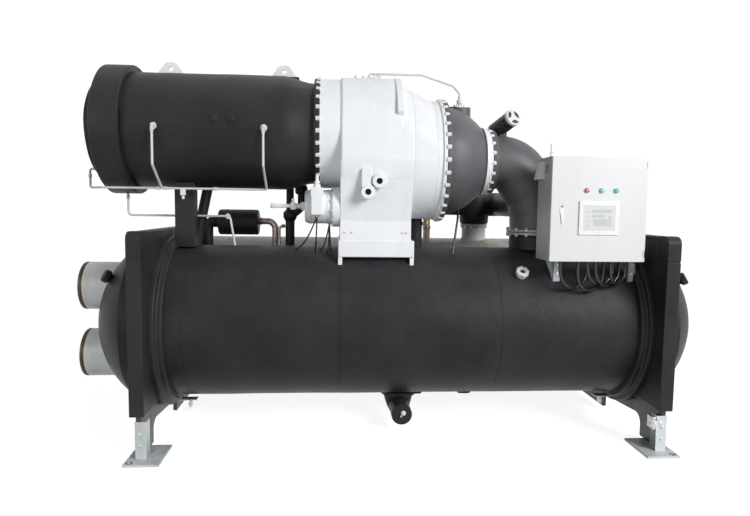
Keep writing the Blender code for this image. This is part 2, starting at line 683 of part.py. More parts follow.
def dished_outline(flange_radius, flange, radius, straight, dish, grow):
    """Half outline of a flanged head with a shallow ball end; grow swells it by a gap."""
    ball = (radius ** 2 + dish ** 2) / (2 * dish)
    centre = flange + straight + dish - ball
    outline = [(0, flange_radius + grow), (flange, flange_radius + grow), (flange, radius + grow)]
    for i in range(DISH_STEPS):
        offset = radius * (1 - i / DISH_STEPS)
        outline.append((centre + on_circle(ball, offset) + grow, offset + grow))
    outline.append((flange + straight + dish + grow, radius * 0.02))
    return outline


def head_outline(grow):
    return dished_outline(HEAD_FLANGE_RADIUS, HEAD_FLANGE, HEAD_RADIUS, HEAD_STRAIGHT, HEAD_DISH, grow)


def condenser_head_outline(grow):
    return dished_outline(COND_FLANGE_RADIUS, COND_HEAD_FLANGE, COND_HEAD_RADIUS, COND_HEAD_STRAIGHT,
                          COND_HEAD_DISH, grow)


def add_nozzle(name, head, rise):
    """A grooved water pipe out of the left head, open right down to the tube sheet."""
    height = EVAP_AXIS_Z + rise
    bore = NOZZLE_RADIUS - NOZZLE_WALL
    start = SHEET_OUTER + HEAD_FLANGE
    length = NOZZLE_REACH - start
    groove = length - NOZZLE_LIP - NOZZLE_GROOVE_WIDTH
    lip = length - NOZZLE_LIP
    neck = NOZZLE_RADIUS - NOZZLE_GROOVE
    outline = [(0, NOZZLE_RADIUS), (groove, NOZZLE_RADIUS), (groove, neck), (lip, neck), (lip, NOZZLE_RADIUS),
               (length, NOZZLE_RADIUS), (length, bore), (0, bore)]
    pipe = turned(name, outline, "nozzle_green", (-start, 0, height), -X_AXIS, NOZZLE_SIDES, hollow=True)
    cut(pipe, turned(name + "_seat", head_outline(GAP), None, (-SHEET_OUTER - GAP, 0, EVAP_AXIS_Z), -X_AXIS,
                     HEAD_SIDES))
    cut(head, cylinder(name + "_bore", bore, NOZZLE_REACH - SHEET_OUTER + 0.02, None,
                       (-SHEET_OUTER + 0.01, 0, height), -X_AXIS, NOZZLE_SIDES))


def add_foot(word, side, end):
    """A base plate with a bolt hole and an angle that holds a leg; end is -1 in front and 1 behind."""
    name = f"foot_{word}"
    centre = side * (LEG_CENTRE - FOOT_INSET)
    edge = MACHINE_FRONT if end < 0 else MACHINE_BACK
    leg_edge = -SHEET_FRONT + LEG_STEEL_SETBACK if end < 0 else COND_SHEET_BACK
    near, far = sorted((edge, edge - end * FOOT_DEPTH))
    plate = block(name, (centre - FOOT_WIDTH / 2, near, 0), (centre + FOOT_WIDTH / 2, far, FOOT_THICK),
                  "foot_grey")
    face = leg_edge + end * GAP
    inner = side * (LEG_CENTRE - LEG_STEEL / 2 - FOOT_INSET)
    across = sorted((inner, inner + side * ANGLE_LEG))
    flange = sorted((face, face + end * ANGLE_THICK))
    cross = block(name + "_front_flange", (across[0], flange[0], FOOT_THICK - 0.004),
                  (across[1], flange[1], ANGLE_HEIGHT), None)
    web_x = sorted((inner, inner + side * ANGLE_THICK))
    web_y = sorted((face + end * ANGLE_THICK, face - end * (ANGLE_LEG - ANGLE_THICK)))
    web = block(name + "_side_flange", (web_x[0], web_y[0], FOOT_THICK - 0.004),
                (web_x[1], web_y[1], ANGLE_HEIGHT), None)
    fuse(plate, cross, web)
    hole_x = centre + side * (FOOT_WIDTH / 2 - FOOT_HOLE_EDGE)
    hole_y = edge - end * FOOT_HOLE_EDGE
    cut(plate, cylinder(name + "_bolt_hole", FOOT_HOLE_RADIUS, 0.06, None, (hole_x, hole_y, -0.02), Z_AXIS,
                        PIPE_SIDES))


def add_condenser():
    length = 2 * COND_SHEET_INNER - 2 * GAP
    turned("condenser_shell", [(0, COND_RADIUS), (length, COND_RADIUS)], "bare_grey",
           (-length / 2, COND_Y, COND_AXIS_Z), X_AXIS, SHELL_SIDES)
    front = SHEET_BACK + GAP / 2
    leg_front = COND_SHEET_BACK - COND_LEG_DEPTH
    bend = COND_LEG_ROUND
    corner = COND_SHEET_CORNER
    outline = [(front, COND_SHEET_BOTTOM), (leg_front - bend, COND_SHEET_BOTTOM)]
    outline += arc((leg_front - bend, COND_SHEET_BOTTOM - bend), bend, 90, 0, 5)
    outline += [(leg_front, FOOT_THICK + GAP), (COND_SHEET_BACK, FOOT_THICK + GAP)]
    outline += arc((COND_SHEET_BACK - corner, COND_SHEET_TOP - corner), corner, 0, 90, 5)
    outline += [(front, COND_SHEET_TOP)]
    for side, word in ((-1, "left"), (1, "right")):
        low, high = sorted((side * COND_SHEET_INNER, side * COND_SHEET_OUTER))
        slab("condenser_end_plate_" + word, outline, low, high, "bare_grey")
        head = turned("condenser_head_" + word, condenser_head_outline(0), "bare_grey",
                      (side * (COND_SHEET_OUTER + GAP), COND_Y, COND_AXIS_Z), X_AXIS * side, HEAD_SIDES)
        if side < 0:
            for level, rise in (("lower", -COND_NOZZLE_SPACING / 2), ("upper", COND_NOZZLE_SPACING / 2)):
                add_condenser_nozzle("cooling_water_nozzle_" + level, head, rise)


def add_condenser_nozzle(name, head, rise):
    height = COND_AXIS_Z + rise
    bore = COND_NOZZLE_RADIUS - NOZZLE_WALL
    start = COND_SHEET_OUTER + COND_HEAD_FLANGE
    length = COND_NOZZLE_REACH - start
    outline = [(0, COND_NOZZLE_RADIUS), (length, COND_NOZZLE_RADIUS), (length, bore), (0, bore)]
    pipe = turned(name, outline, "nozzle_green", (-start, COND_Y, height), -X_AXIS, NOZZLE_SIDES, hollow=True)
    cut(pipe, turned(name + "_seat", condenser_head_outline(GAP), None,
                     (-COND_SHEET_OUTER - GAP, COND_Y, COND_AXIS_Z), -X_AXIS, HEAD_SIDES))
    cut(head, cylinder(name + "_bore", bore, COND_NOZZLE_REACH - COND_SHEET_OUTER + 0.02, None,
                       (-COND_SHEET_OUTER + 0.01, COND_Y, height), -X_AXIS, NOZZLE_SIDES))


def add_motor():
    centre = (0, 0, MOTOR_AXIS_Z)
    outline = motor_outline(0)
    outline += [(MOTOR_RIGHT, MOTOR_FLANGE_RADIUS), (CASING_LEFT - GAP, MOTOR_FLANGE_RADIUS)]
    turned("motor_shell", outline, "foam", centre, X_AXIS, MOTOR_SIDES)
    cover = [(MOTOR_CAP_LEFT, MOTOR_CAP_RADIUS - 0.012), (MOTOR_CAP_LEFT + 0.012, MOTOR_CAP_RADIUS),
             (MOTOR_BAND_LEFT, MOTOR_CAP_RADIUS), (MOTOR_BAND_LEFT, MOTOR_BAND_RADIUS - 0.008),
             (MOTOR_BAND_LEFT + 0.008, MOTOR_BAND_RADIUS), (MOTOR_LEFT, MOTOR_BAND_RADIUS)]
    turned("motor_end_cover", cover, "foam", centre, X_AXIS, MOTOR_SIDES)

    top = MOTOR_AXIS_Z + MOTOR_RADIUS + LUG_RISE
    foot = MOTOR_AXIS_Z + MOTOR_RADIUS - 0.02
    eye = top - LUG_ROUND
    for word, x in zip(("rear", "front"), LUG_PLACES):
        outline = [(x - LUG_WIDTH / 2, foot), (x + LUG_WIDTH / 2, foot)]
        outline += arc((x, eye), LUG_ROUND, 40, 140, 8)
        lug = slab("lifting_lug_" + word, outline, -LUG_THICK / 2, LUG_THICK / 2, "bare_grey", plane="XZ")
        hole = cylinder("lug_hole_" + word, LUG_HOLE_RADIUS, 0.1, None, (x, -0.05, eye), Y_AXIS, PIPE_SIDES)
        cut(lug, hole, motor_cutter("lug_seat_" + word))

    post = block("motor_support_post", (POST_LEFT, POST_FRONT, SEAT_START),
                 (POST_LEFT + POST_WIDTH, POST_FRONT + POST_DEPTH, MOTOR_AXIS_Z - MOTOR_RADIUS / 2),
                 "black_paint")
    cut(post, motor_cutter("post_top_seat"), shell_cutter("post_foot_seat"))


def casing_section(x, share):
    """Points round the casing at x: both shaft housings in one hull at share 1, the volute alone at 0."""
    top_centre = VOLUTE_AXIS_Z + (MOTOR_AXIS_Z - VOLUTE_AXIS_Z) * share
    top_radius = VOLUTE_RADIUS + (CASING_TOP_RADIUS - VOLUTE_RADIUS) * share
    ring = []
    for i in range(CASING_SIDES):
        t = 2 * pi * (i + 0.5) / CASING_SIDES
        if sin(t) > 0:
            ring.append((x, top_radius * cos(t), top_centre + top_radius * sin(t)))
        else:
            ring.append((x, VOLUTE_RADIUS * cos(t), VOLUTE_AXIS_Z + VOLUTE_RADIUS * sin(t)))
    return ring


def slope_share(x):
    """How much of the upper housing is left at x, on the slope from the rib down to the volute."""
    return max(0.0, SLOPE_SHARE * (SLOPE_END - x) / (SLOPE_END - RIB_RIGHT))


def casing_cutter(name, left, right, share):
    """The casing's outside between two places along X, a little larger, which seats what meets it."""
    grow = 1 + 3 * GAP / VOLUTE_RADIUS
    rings = []
    for x in (left, right):
        ring = casing_section(x, share)
        rings.append([(x, y * grow, VOLUTE_AXIS_Z + (z - VOLUTE_AXIS_Z) * grow) for x, y, z in ring])
    return as_cutter(place(name, lofted_mesh(name, rings), None))


def add_compressor():
    round_part = cylinder("casing_round", MOTOR_FLANGE_RADIUS - 0.004, CASING_FACE - CASING_LEFT + 0.02, None,
                          (CASING_LEFT, 0, MOTOR_AXIS_Z), X_AXIS, MOTOR_SIDES)
    inset = 1 - CASING_EDGE / VOLUTE_RADIUS
    face = [(x, y * inset, VOLUTE_AXIS_Z + (z - VOLUTE_AXIS_Z) * inset)
            for x, y, z in casing_section(CASING_FACE, 1)]
    rib_middle = RIB_RIGHT - RIB_THICK / 2
    rings = [face, casing_section(CASING_FACE + CASING_EDGE, 1), casing_section(rib_middle, 1),
             casing_section(rib_middle + CASING_EDGE / 2, SLOPE_SHARE),
             casing_section(RIB_RIGHT, SLOPE_SHARE),
             casing_section(CASING_RIGHT, slope_share(CASING_RIGHT))]
    casing = place("gear_casing", lofted_mesh("gear_casing", rings), "casing_white")
    rib = slab("casing_rib", arc((0, MOTOR_AXIS_Z - RIB_DROP), RIB_RADIUS, RIB_END_ANGLE,
                                 180 - RIB_END_ANGLE, 12), RIB_RIGHT - RIB_THICK, RIB_RIGHT, None)
    fuse(casing, round_part, rib)
    for number, (x, z) in enumerate((LOWER_BOSS, UPPER_BOSS)):
        boss = cylinder(f"casing_boss_{number}", BOSS_RADIUS, BOSS_LENGTH, None, (x, -BOSS_FRONT, z), Y_AXIS,
                        DISCHARGE_SIDES)
        bore = cylinder(f"casing_boss_bore_{number}", BOSS_BORE, BOSS_LENGTH, None,
                        (x, -BOSS_FRONT - BOSS_LENGTH + BOSS_BORE_DEPTH, z), Y_AXIS, PIPE_SIDES)
        fuse(casing, boss)
        cut(casing, bore)

    rings = [casing_section(x, slope_share(x)) for x in (CASING_RIGHT + GAP, SLOPE_END, VOLUTE_RIGHT - GAP)]
    volute = place("compressor_volute", lofted_mesh("compressor_volute", rings), "casing_white")
    fuse(volute, cylinder("volute_flange", VOLUTE_FLANGE_RADIUS, VOLUTE_FLANGE_THICK, None,
                          (VOLUTE_RIGHT - VOLUTE_FLANGE_THICK, 0, VOLUTE_AXIS_Z), X_AXIS, MOTOR_SIDES))
    add_pedestal()
    add_suction_side()
    add_oil_pump()


def add_pedestal():
    """The white pedestal: a neck that carries on the casing's flanks, a wider block and two saddle plates."""
    left = CASING_FACE
    right = CASING_RIGHT - 0.005
    flank = on_circle(VOLUTE_RADIUS, VOLUTE_AXIS_Z - PEDESTAL_TOP) + PEDESTAL_LEDGE
    half = [(PEDESTAL_FRONT - PEDESTAL_LEDGE, PEDESTAL_STEP - 0.01), (PEDESTAL_NECK_FRONT, PEDESTAL_CREASE),
            (flank, PEDESTAL_TOP)]
    outline = half + [(-y, z) for y, z in reversed(half)]
    neck = slab("compressor_pedestal", outline, left, right, "casing_white")
    wide_left, wide_right = left - PEDESTAL_SIDE, right + 2 * PEDESTAL_SIDE
    wide = block("pedestal_block", (wide_left, -PEDESTAL_FRONT, PEDESTAL_BLOCK_BOTTOM),
                 (wide_right, PEDESTAL_FRONT, PEDESTAL_STEP), None)
    fuse(neck, wide)
    for number, x in enumerate((wide_left, wide_right - SADDLE_THICK)):
        fuse(neck, block(f"pedestal_saddle_{number}", (x, -PEDESTAL_FRONT + 0.01, SEAT_START),
                         (x + SADDLE_THICK, PEDESTAL_FRONT - 0.01, PEDESTAL_BLOCK_BOTTOM + 0.02), None))
    cut(neck, casing_cutter("pedestal_seat", CASING_FACE - 0.05, CASING_RIGHT + 0.05, 1),
        shell_cutter("pedestal_foot_seat"))
    for number, (x, z) in enumerate((LOWER_BOSS, UPPER_BOSS)):
        cut(neck, cylinder(f"pedestal_boss_seat_{number}", BOSS_RADIUS + 2 * GAP, 2 * BOSS_LENGTH, None,
                           (x, -BOSS_FRONT - BOSS_LENGTH / 2, z), Y_AXIS, DISCHARGE_SIDES))


def elbow_radii(count, grow):
    """The elbow's radius at each point of its path, a little wider at the foot."""
    widening = ELBOW_FOOT_RADIUS - ELBOW_RADIUS
    return [ELBOW_RADIUS + grow + widening * i / (count - 1) for i in range(count)]


def add_suction_side():
    left = VOLUTE_RIGHT + GAP
    cover = [(left, COVER_RING_RADIUS), (left + COVER_RING_THICK, COVER_RING_RADIUS),
             (left + COVER_RING_THICK, COVER_BASE_RADIUS)]
    span = COVER_RIGHT - left - COVER_RING_THICK
    for i in range(1, COVER_STEPS + 1):
        share = i / COVER_STEPS
        swell = 1 - share ** 2
        radius = COVER_THROAT_RADIUS + (COVER_BASE_RADIUS - COVER_THROAT_RADIUS) * swell
        cover.append((left + COVER_RING_THICK + span * share, radius))
    shell = turned("suction_cover", cover, "foam", (0, 0, VOLUTE_AXIS_Z), X_AXIS, MOTOR_SIDES)
    collar_foot = VOLUTE_AXIS_Z + COVER_THROAT_RADIUS
    fuse(shell, cylinder("cover_collar", COLLAR_RADIUS, COLLAR_TOP - collar_foot, None,
                         (COLLAR_X, 0, collar_foot), Z_AXIS, NOZZLE_SIDES))

    vane_left = COVER_RIGHT + GAP
    vane_right = vane_left + VANE_RING_THICK
    turned("guide_vane_ring", [(0, VANE_RING_RADIUS), (VANE_RING_THICK, VANE_RING_RADIUS)], "casing_white",
           (vane_left, 0, VOLUTE_AXIS_Z), X_AXIS, HEAD_SIDES)

    start = vane_right + GAP
    corner = (ELBOW_X, 0, VOLUTE_AXIS_Z)
    foot = (ELBOW_X, 0, ELBOW_FOOT_Z + GAP)
    path = rounded_path([(start, 0, VOLUTE_AXIS_Z), corner, foot], ELBOW_BEND, ELBOW_STEPS)
    radii = elbow_radii(len(path), 0)
    elbow = swept("suction_elbow", path, radii, "foam", ELBOW_SIDES)
    fuse(elbow, cylinder("elbow_inlet_flange", ELBOW_FLANGE_RADIUS, ELBOW_FLANGE_THICK, None,
                         (start, 0, VOLUTE_AXIS_Z), X_AXIS, HEAD_SIDES),
         cylinder("elbow_foot_flange", STUB_FLANGE_RADIUS, STUB_FLANGE_THICK, None,
                  (ELBOW_X, 0, ELBOW_FOOT_Z + GAP), Z_AXIS, HEAD_SIDES))

    flange_bottom = ELBOW_FOOT_Z - STUB_FLANGE_THICK
    outline = [(SEAT_START, STUB_RADIUS), (flange_bottom, STUB_RADIUS),
               (flange_bottom, STUB_FLANGE_RADIUS), (ELBOW_FOOT_Z, STUB_FLANGE_RADIUS)]
    stub = turned("suction_stub", outline, "foam", (ELBOW_X, 0, 0), Z_AXIS, HEAD_SIDES)
    cut(stub, shell_cutter("stub_seat"))

    root, end = Vector(ACTUATOR_ROOT), Vector(ACTUATOR_END)
    length = (end - root).length
    radius = ACTUATOR_RADIUS
    outline = [(-0.10, radius * 0.45), (0.05, radius * 0.45), (0.05, radius), (length - 0.022, radius),
               (length - 0.022, radius * 1.05), (length - 0.004, radius * 1.05), (length, radius * 0.95)]
    actuator = turned("vane_actuator", outline, "black_paint", root, end - root, 18)
    seat = swept("actuator_elbow_seat", path, elbow_radii(len(path), 2 * GAP), None, ELBOW_SIDES)
    inlet = cylinder("actuator_flange_seat", max(VANE_RING_RADIUS, ELBOW_FLANGE_RADIUS) + GAP,
                     VANE_RING_THICK + ELBOW_FLANGE_THICK + 3 * GAP + 0.02, None,
                     (vane_left - 0.02, 0, VOLUTE_AXIS_Z), X_AXIS, HEAD_SIDES)
    cut(actuator, seat, inlet)

    level = CASING_TOP + BALANCE_RISE
    tail = [(BALANCE_LEFT, 0, CASING_TOP + 2 * GAP), (BALANCE_LEFT, 0, level), (BALANCE_RIGHT, 0, level),
            (COLLAR_X, 0, COLLAR_KNEE), (COLLAR_X, 0, COLLAR_TOP + GAP)]
    tube("balance_line", rounded_path(tail, 0.030, 5), TUBE_RADIUS, "tube_white", 2)


def add_oil_pump():
    face = CASING_FACE - GAP
    outline = [(0, PUMP_FLANGE_RADIUS), (PUMP_FLANGE_THICK, PUMP_FLANGE_RADIUS),
               (PUMP_FLANGE_THICK, PUMP_RADIUS), (face - PUMP_LEFT - 0.012, PUMP_RADIUS),
               (face - PUMP_LEFT, PUMP_RADIUS - 0.012)]
    pump = turned("oil_pump", outline, "casing_white", (face, PUMP_Y, PUMP_Z), -X_AXIS, NOZZLE_SIDES)
    seat = cylinder("pump_casing_seat", MOTOR_FLANGE_RADIUS + GAP, CASING_FACE - CASING_LEFT + 0.06, None,
                    (CASING_LEFT - 0.05, 0, MOTOR_AXIS_Z), X_AXIS, MOTOR_SIDES)
    pedestal_seat = block("pump_pedestal_seat",
                          (CASING_FACE - PEDESTAL_SIDE - GAP, -PEDESTAL_FRONT - 0.01, PEDESTAL_BLOCK_BOTTOM),
                          (CASING_FACE + 0.02, PEDESTAL_FRONT, PEDESTAL_STEP + GAP), None)
    cut(pump, seat, pedestal_seat)

    front = PUMP_Y - PUMP_RADIUS
    low = (TERMINAL_X - TERMINAL_WIDTH / 2, front - TERMINAL_DEPTH, PUMP_Z - 0.030)
    high = (TERMINAL_X + TERMINAL_WIDTH / 2, front + 0.05, PUMP_Z - 0.030 + TERMINAL_HEIGHT)
    terminal = block("pump_terminal_box", low, high, None, 0.006)
    gland = turned("terminal_gland", [(0, 0.017), (0.028, 0.017), (0.028, 0.011), (0.062, 0.008)], None,
                   (TERMINAL_X, front - TERMINAL_DEPTH / 2, high[2] - 0.004), Z_AXIS, 12)
    reach = PUMP_LEFT - VALVE_LEFT
    outline = [(-0.010, 0.034), (0.030, 0.034), (0.030, 0.018), (0.070, 0.018), (0.070, 0.030),
               (0.105, 0.030), (0.105, 0.014), (reach - 0.05, 0.014), (reach - 0.05, 0.022), (reach, 0.017)]
    valve = turned("pump_service_valve", outline, None, (PUMP_LEFT, PUMP_Y, VALVE_Z), -X_AXIS, 12)
    fuse(pump, terminal, gland, valve)


def add_pipework():
    band_bottom = MOTOR_AXIS_Z - MOTOR_BAND_RADIUS
    wall = MOTOR_RADIUS + 2 * GAP
    fitting_y = -on_circle(wall, MOTOR_AXIS_Z - COOLING_TOP)
    rear_x, front_x = COOLING_DROPS
    main = [(MOTOR_CAP_LEFT - GAP, COOLING_END_Y, COOLING_END_Z),
            (COOLING_END_X, COOLING_END_Y, COOLING_END_Z), (COOLING_END_X, COOLING_END_Y, COOLING_Z),
            (COOLING_END_X + 0.12, COOLING_Y, COOLING_Z),
            (front_x, COOLING_Y, COOLING_Z), (front_x, -COOLING_FRONT, COOLING_KNEE),
            (front_x, -COOLING_FRONT, COOLING_TOP), (front_x, fitting_y, COOLING_TOP)]
    line = swept("motor_cooling_line", rounded_path(main, 0.016, 3), TUBE_RADIUS, "tube_white",
                 TUBE_SIDES)
    drop = [(rear_x, fitting_y, COOLING_TOP), (rear_x, -COOLING_FRONT, COOLING_TOP),
            (rear_x, -COOLING_FRONT, COOLING_KNEE), (rear_x, COOLING_Y, COOLING_Z + 0.002)]
    fuse(line, swept("motor_cooling_drop", rounded_path(drop, 0.016, 3), TUBE_RADIUS * 0.97, None,
                     TUBE_SIDES))
    thin = [(THIN_LINE_LEFT, 0, band_bottom + 0.02), (THIN_LINE_LEFT, 0, THIN_LINE_Z),
            (THIN_LINE_RIGHT, 0, THIN_LINE_Z), (THIN_LINE_RIGHT + 0.036, 0, CROWN - 0.02)]
    oil_line = swept("oil_return_line", rounded_path(thin, 0.030, 3), TUBE_RADIUS, "tube_white",
                     TUBE_SIDES)
    band_seat = cylinder("oil_line_band_seat", MOTOR_BAND_RADIUS + GAP, MOTOR_LEFT - MOTOR_BAND_LEFT, None,
                         (MOTOR_BAND_LEFT, 0, MOTOR_AXIS_Z), X_AXIS, MOTOR_SIDES)
    cut(oil_line, band_seat, shell_cutter("oil_line_foot_seat"))

    bends = ((MOTOR_AXIS_Z - MOTOR_RADIUS + 0.07, 0), (MOTOR_DRAIN_ELBOW, -0.7), (MOTOR_DRAIN_FOOT, -1.7),
             (CROWN - 0.07, -1.9))
    path = [(MOTOR_DRAIN_X + MOTOR_DRAIN_SLANT * share, MOTOR_DRAIN_Y, height) for height, share in bends]
    drain = swept("motor_drain_pipe", path, MOTOR_DRAIN_RADIUS, "foam", PIPE_SIDES)
    cut(drain, motor_cutter("drain_top_seat"), shell_cutter("drain_foot_seat"))

    left, length = DRUM_LEFT, DRUM_RIGHT - DRUM_LEFT
    edge = 0.010
    outline = [(0, DRUM_RADIUS - edge), (edge, DRUM_RADIUS), (length - edge, DRUM_RADIUS),
               (length, DRUM_RADIUS - edge)]
    drum = turned("oil_separator_drum", outline, "foam", (left, DRUM_Y, DRUM_Z), X_AXIS, NOZZLE_SIDES)
    pipe_x = left - DRUM_PIPE_REACH
    path = rounded_path([(left + edge, DRUM_Y, DRUM_Z), (pipe_x, DRUM_Y, DRUM_Z),
                         (pipe_x, DRUM_Y, SEAT_START)], DRUM_PIPE_BEND, BEND_STEPS)
    fuse(drum, swept("drum_inlet_pipe", path, DRUM_PIPE_RADIUS, None, PIPE_SIDES))
    cut(drum, shell_cutter("drum_inlet_seat"))
    right = DRUM_RIGHT + GAP
    pipe_x = right + DRUM_BARE_REACH
    pipe_z = DRUM_Z + edge
    path = rounded_path([(right, DRUM_Y, pipe_z), (pipe_x, DRUM_Y, pipe_z), (pipe_x, DRUM_Y, SEAT_START)],
                        DRUM_BARE_BEND, BEND_STEPS)
    outlet = swept("drum_outlet_pipe", path, DRUM_BARE_RADIUS, "bare_pipe", 12)
    cut(outlet, shell_cutter("drum_outlet_seat"))

    valve = RISER_VALVE_Z
    top = MOTOR_AXIS_Z - MOTOR_RADIUS / 2
    outline = [(SEAT_START, RISER_RADIUS), (valve - 0.045, RISER_RADIUS),
               (valve - 0.020, RISER_RADIUS + 0.018),
               (valve + 0.020, RISER_RADIUS + 0.018), (valve + 0.045, RISER_RADIUS - 0.006),
               (top, RISER_RADIUS - 0.006)]
    riser = turned("liquid_riser", outline, "foam", (RISER_X, RISER_Y, 0), Z_AXIS, PIPE_SIDES)
    cut(riser, shell_cutter("riser_foot_seat"), motor_cutter("riser_top_seat"))

    add_discharge()

    drain_top = VOLUTE_AXIS_Z - VOLUTE_RADIUS * 0.8
    volute_drain = cylinder("volute_drain_pipe", VOLUTE_DRAIN_RADIUS, drain_top - SEAT_START, "foam",
                            (VOLUTE_DRAIN_X, 0, SEAT_START), Z_AXIS, PIPE_SIDES)
    cut(volute_drain, shell_cutter("volute_drain_foot_seat"),
        casing_cutter("volute_drain_seat", CASING_RIGHT, VOLUTE_RIGHT, 0))

    path = rounded_path([(DRAIN_X, -0.02, EVAP_AXIS_Z - EVAP_RADIUS / 2), (DRAIN_X, -0.02, DRAIN_Z),
                         (DRAIN_X, DRAIN_FRONT, DRAIN_Z)], DRAIN_BEND, BEND_STEPS)
    narrowing = (DRAIN_TOP_RADIUS - DRAIN_RADIUS) / BEND_STEPS
    radii = [DRAIN_TOP_RADIUS - narrowing * i for i in range(BEND_STEPS + 1)]
    radii = [DRAIN_TOP_RADIUS] + radii + [DRAIN_RADIUS]
    sump = swept("evaporator_drain", path, radii, "foam", 18)
    cut(sump, shell_cutter("evaporator_drain_seat"))

    tilt = radians(SIGHT_ANGLE)
    outwards = Vector((0, -cos(tilt), sin(tilt)))
    base = Vector((SIGHT_X, 0, EVAP_AXIS_Z)) + outwards * (EVAP_RADIUS - 0.02)
    rise = SIGHT_RISE + 0.02
    outline = [(0, SIGHT_RADIUS - 0.008), (rise - 0.026, SIGHT_RADIUS - 0.008), (rise - 0.026, SIGHT_RADIUS),
               (rise - 0.004, SIGHT_RADIUS), (rise, SIGHT_RADIUS - 0.004), (rise, SIGHT_BORE),
               (rise - 0.022, SIGHT_BORE)]
    sight = turned("sight_glass", outline, "panel_white", base, outwards, 16)
    cut(sight, shell_cutter("sight_glass_seat"))


def add_discharge():
    """The insulated discharge pipe from the volute to a column on the condenser, and the gas bypass."""
    volute_back = VOLUTE_RADIUS / 2
    path = rounded_path([(DISCHARGE_X, volute_back, DISCHARGE_Z), (DISCHARGE_X, COND_Y, DISCHARGE_Z),
                         (DISCHARGE_DROP_X, COND_Y, DISCHARGE_Z),
                         (DISCHARGE_DROP_X, COND_Y, COLUMN_TOP + GAP)], DISCHARGE_BEND, BEND_STEPS)
    discharge = swept("discharge_pipe", path, DISCHARGE_RADIUS, "foam", DISCHARGE_SIDES)
    upper_seat = swept("equaliser_top_seat", path, DISCHARGE_RADIUS + 3 * GAP, None, DISCHARGE_SIDES)
    cut(discharge, casing_cutter("discharge_seat", CASING_RIGHT - 0.02, VOLUTE_RIGHT + 0.02, 0))

    outline = [(COND_AXIS_Z + COND_RADIUS * 0.8, COLUMN_RADIUS),
               (COLUMN_TOP - COLUMN_FLANGE_THICK, COLUMN_RADIUS),
               (COLUMN_TOP - COLUMN_FLANGE_THICK, COLUMN_FLANGE_RADIUS), (COLUMN_TOP, COLUMN_FLANGE_RADIUS)]
    column = turned("discharge_column", outline, "bare_grey", (DISCHARGE_DROP_X, COND_Y, 0), Z_AXIS,
                    NOZZLE_SIDES)
    cut(column, condenser_cutter("column_seat"))

    side = DISCHARGE_DROP_X + DISCHARGE_RADIUS
    path = rounded_path([(side - 0.09, COND_Y, BYPASS_Z), (ELBOW_X, COND_Y, BYPASS_Z),
                         (ELBOW_X, ELBOW_RADIUS - 0.06, BYPASS_Z)], BYPASS_BEND, BEND_STEPS)
    fuse(discharge, swept("gas_bypass_pipe", path, BYPASS_RADIUS, None, PIPE_SIDES))
    elbow_path = rounded_path([(COVER_RIGHT, 0, VOLUTE_AXIS_Z), (ELBOW_X, 0, VOLUTE_AXIS_Z),
                               (ELBOW_X, 0, ELBOW_FOOT_Z - 0.10)], ELBOW_BEND, ELBOW_STEPS)
    elbow_seat = swept("bypass_elbow_seat", elbow_path, elbow_radii(len(elbow_path), 3 * GAP), None,
                       ELBOW_SIDES)
    fuse(discharge, cylinder("discharge_valve_foam", VALVE_FOAM_RADIUS, VALVE_FOAM_HEIGHT, None,
                             (DISCHARGE_DROP_X, COND_Y, COLUMN_TOP + GAP), Z_AXIS, DISCHARGE_SIDES))
    cut(discharge, elbow_seat)

    bottom = COND_AXIS_Z + COND_RADIUS * 0.8
    top = DISCHARGE_Z - DISCHARGE_RADIUS / 2
    equaliser = cylinder("equalising_pipe", EQUALISER_RADIUS, top - bottom, "bare_pipe",
                         (EQUALISER_X, COND_Y, bottom), Z_AXIS, PIPE_SIDES)
    cut(equaliser, condenser_cutter("equaliser_foot_seat"), upper_seat)


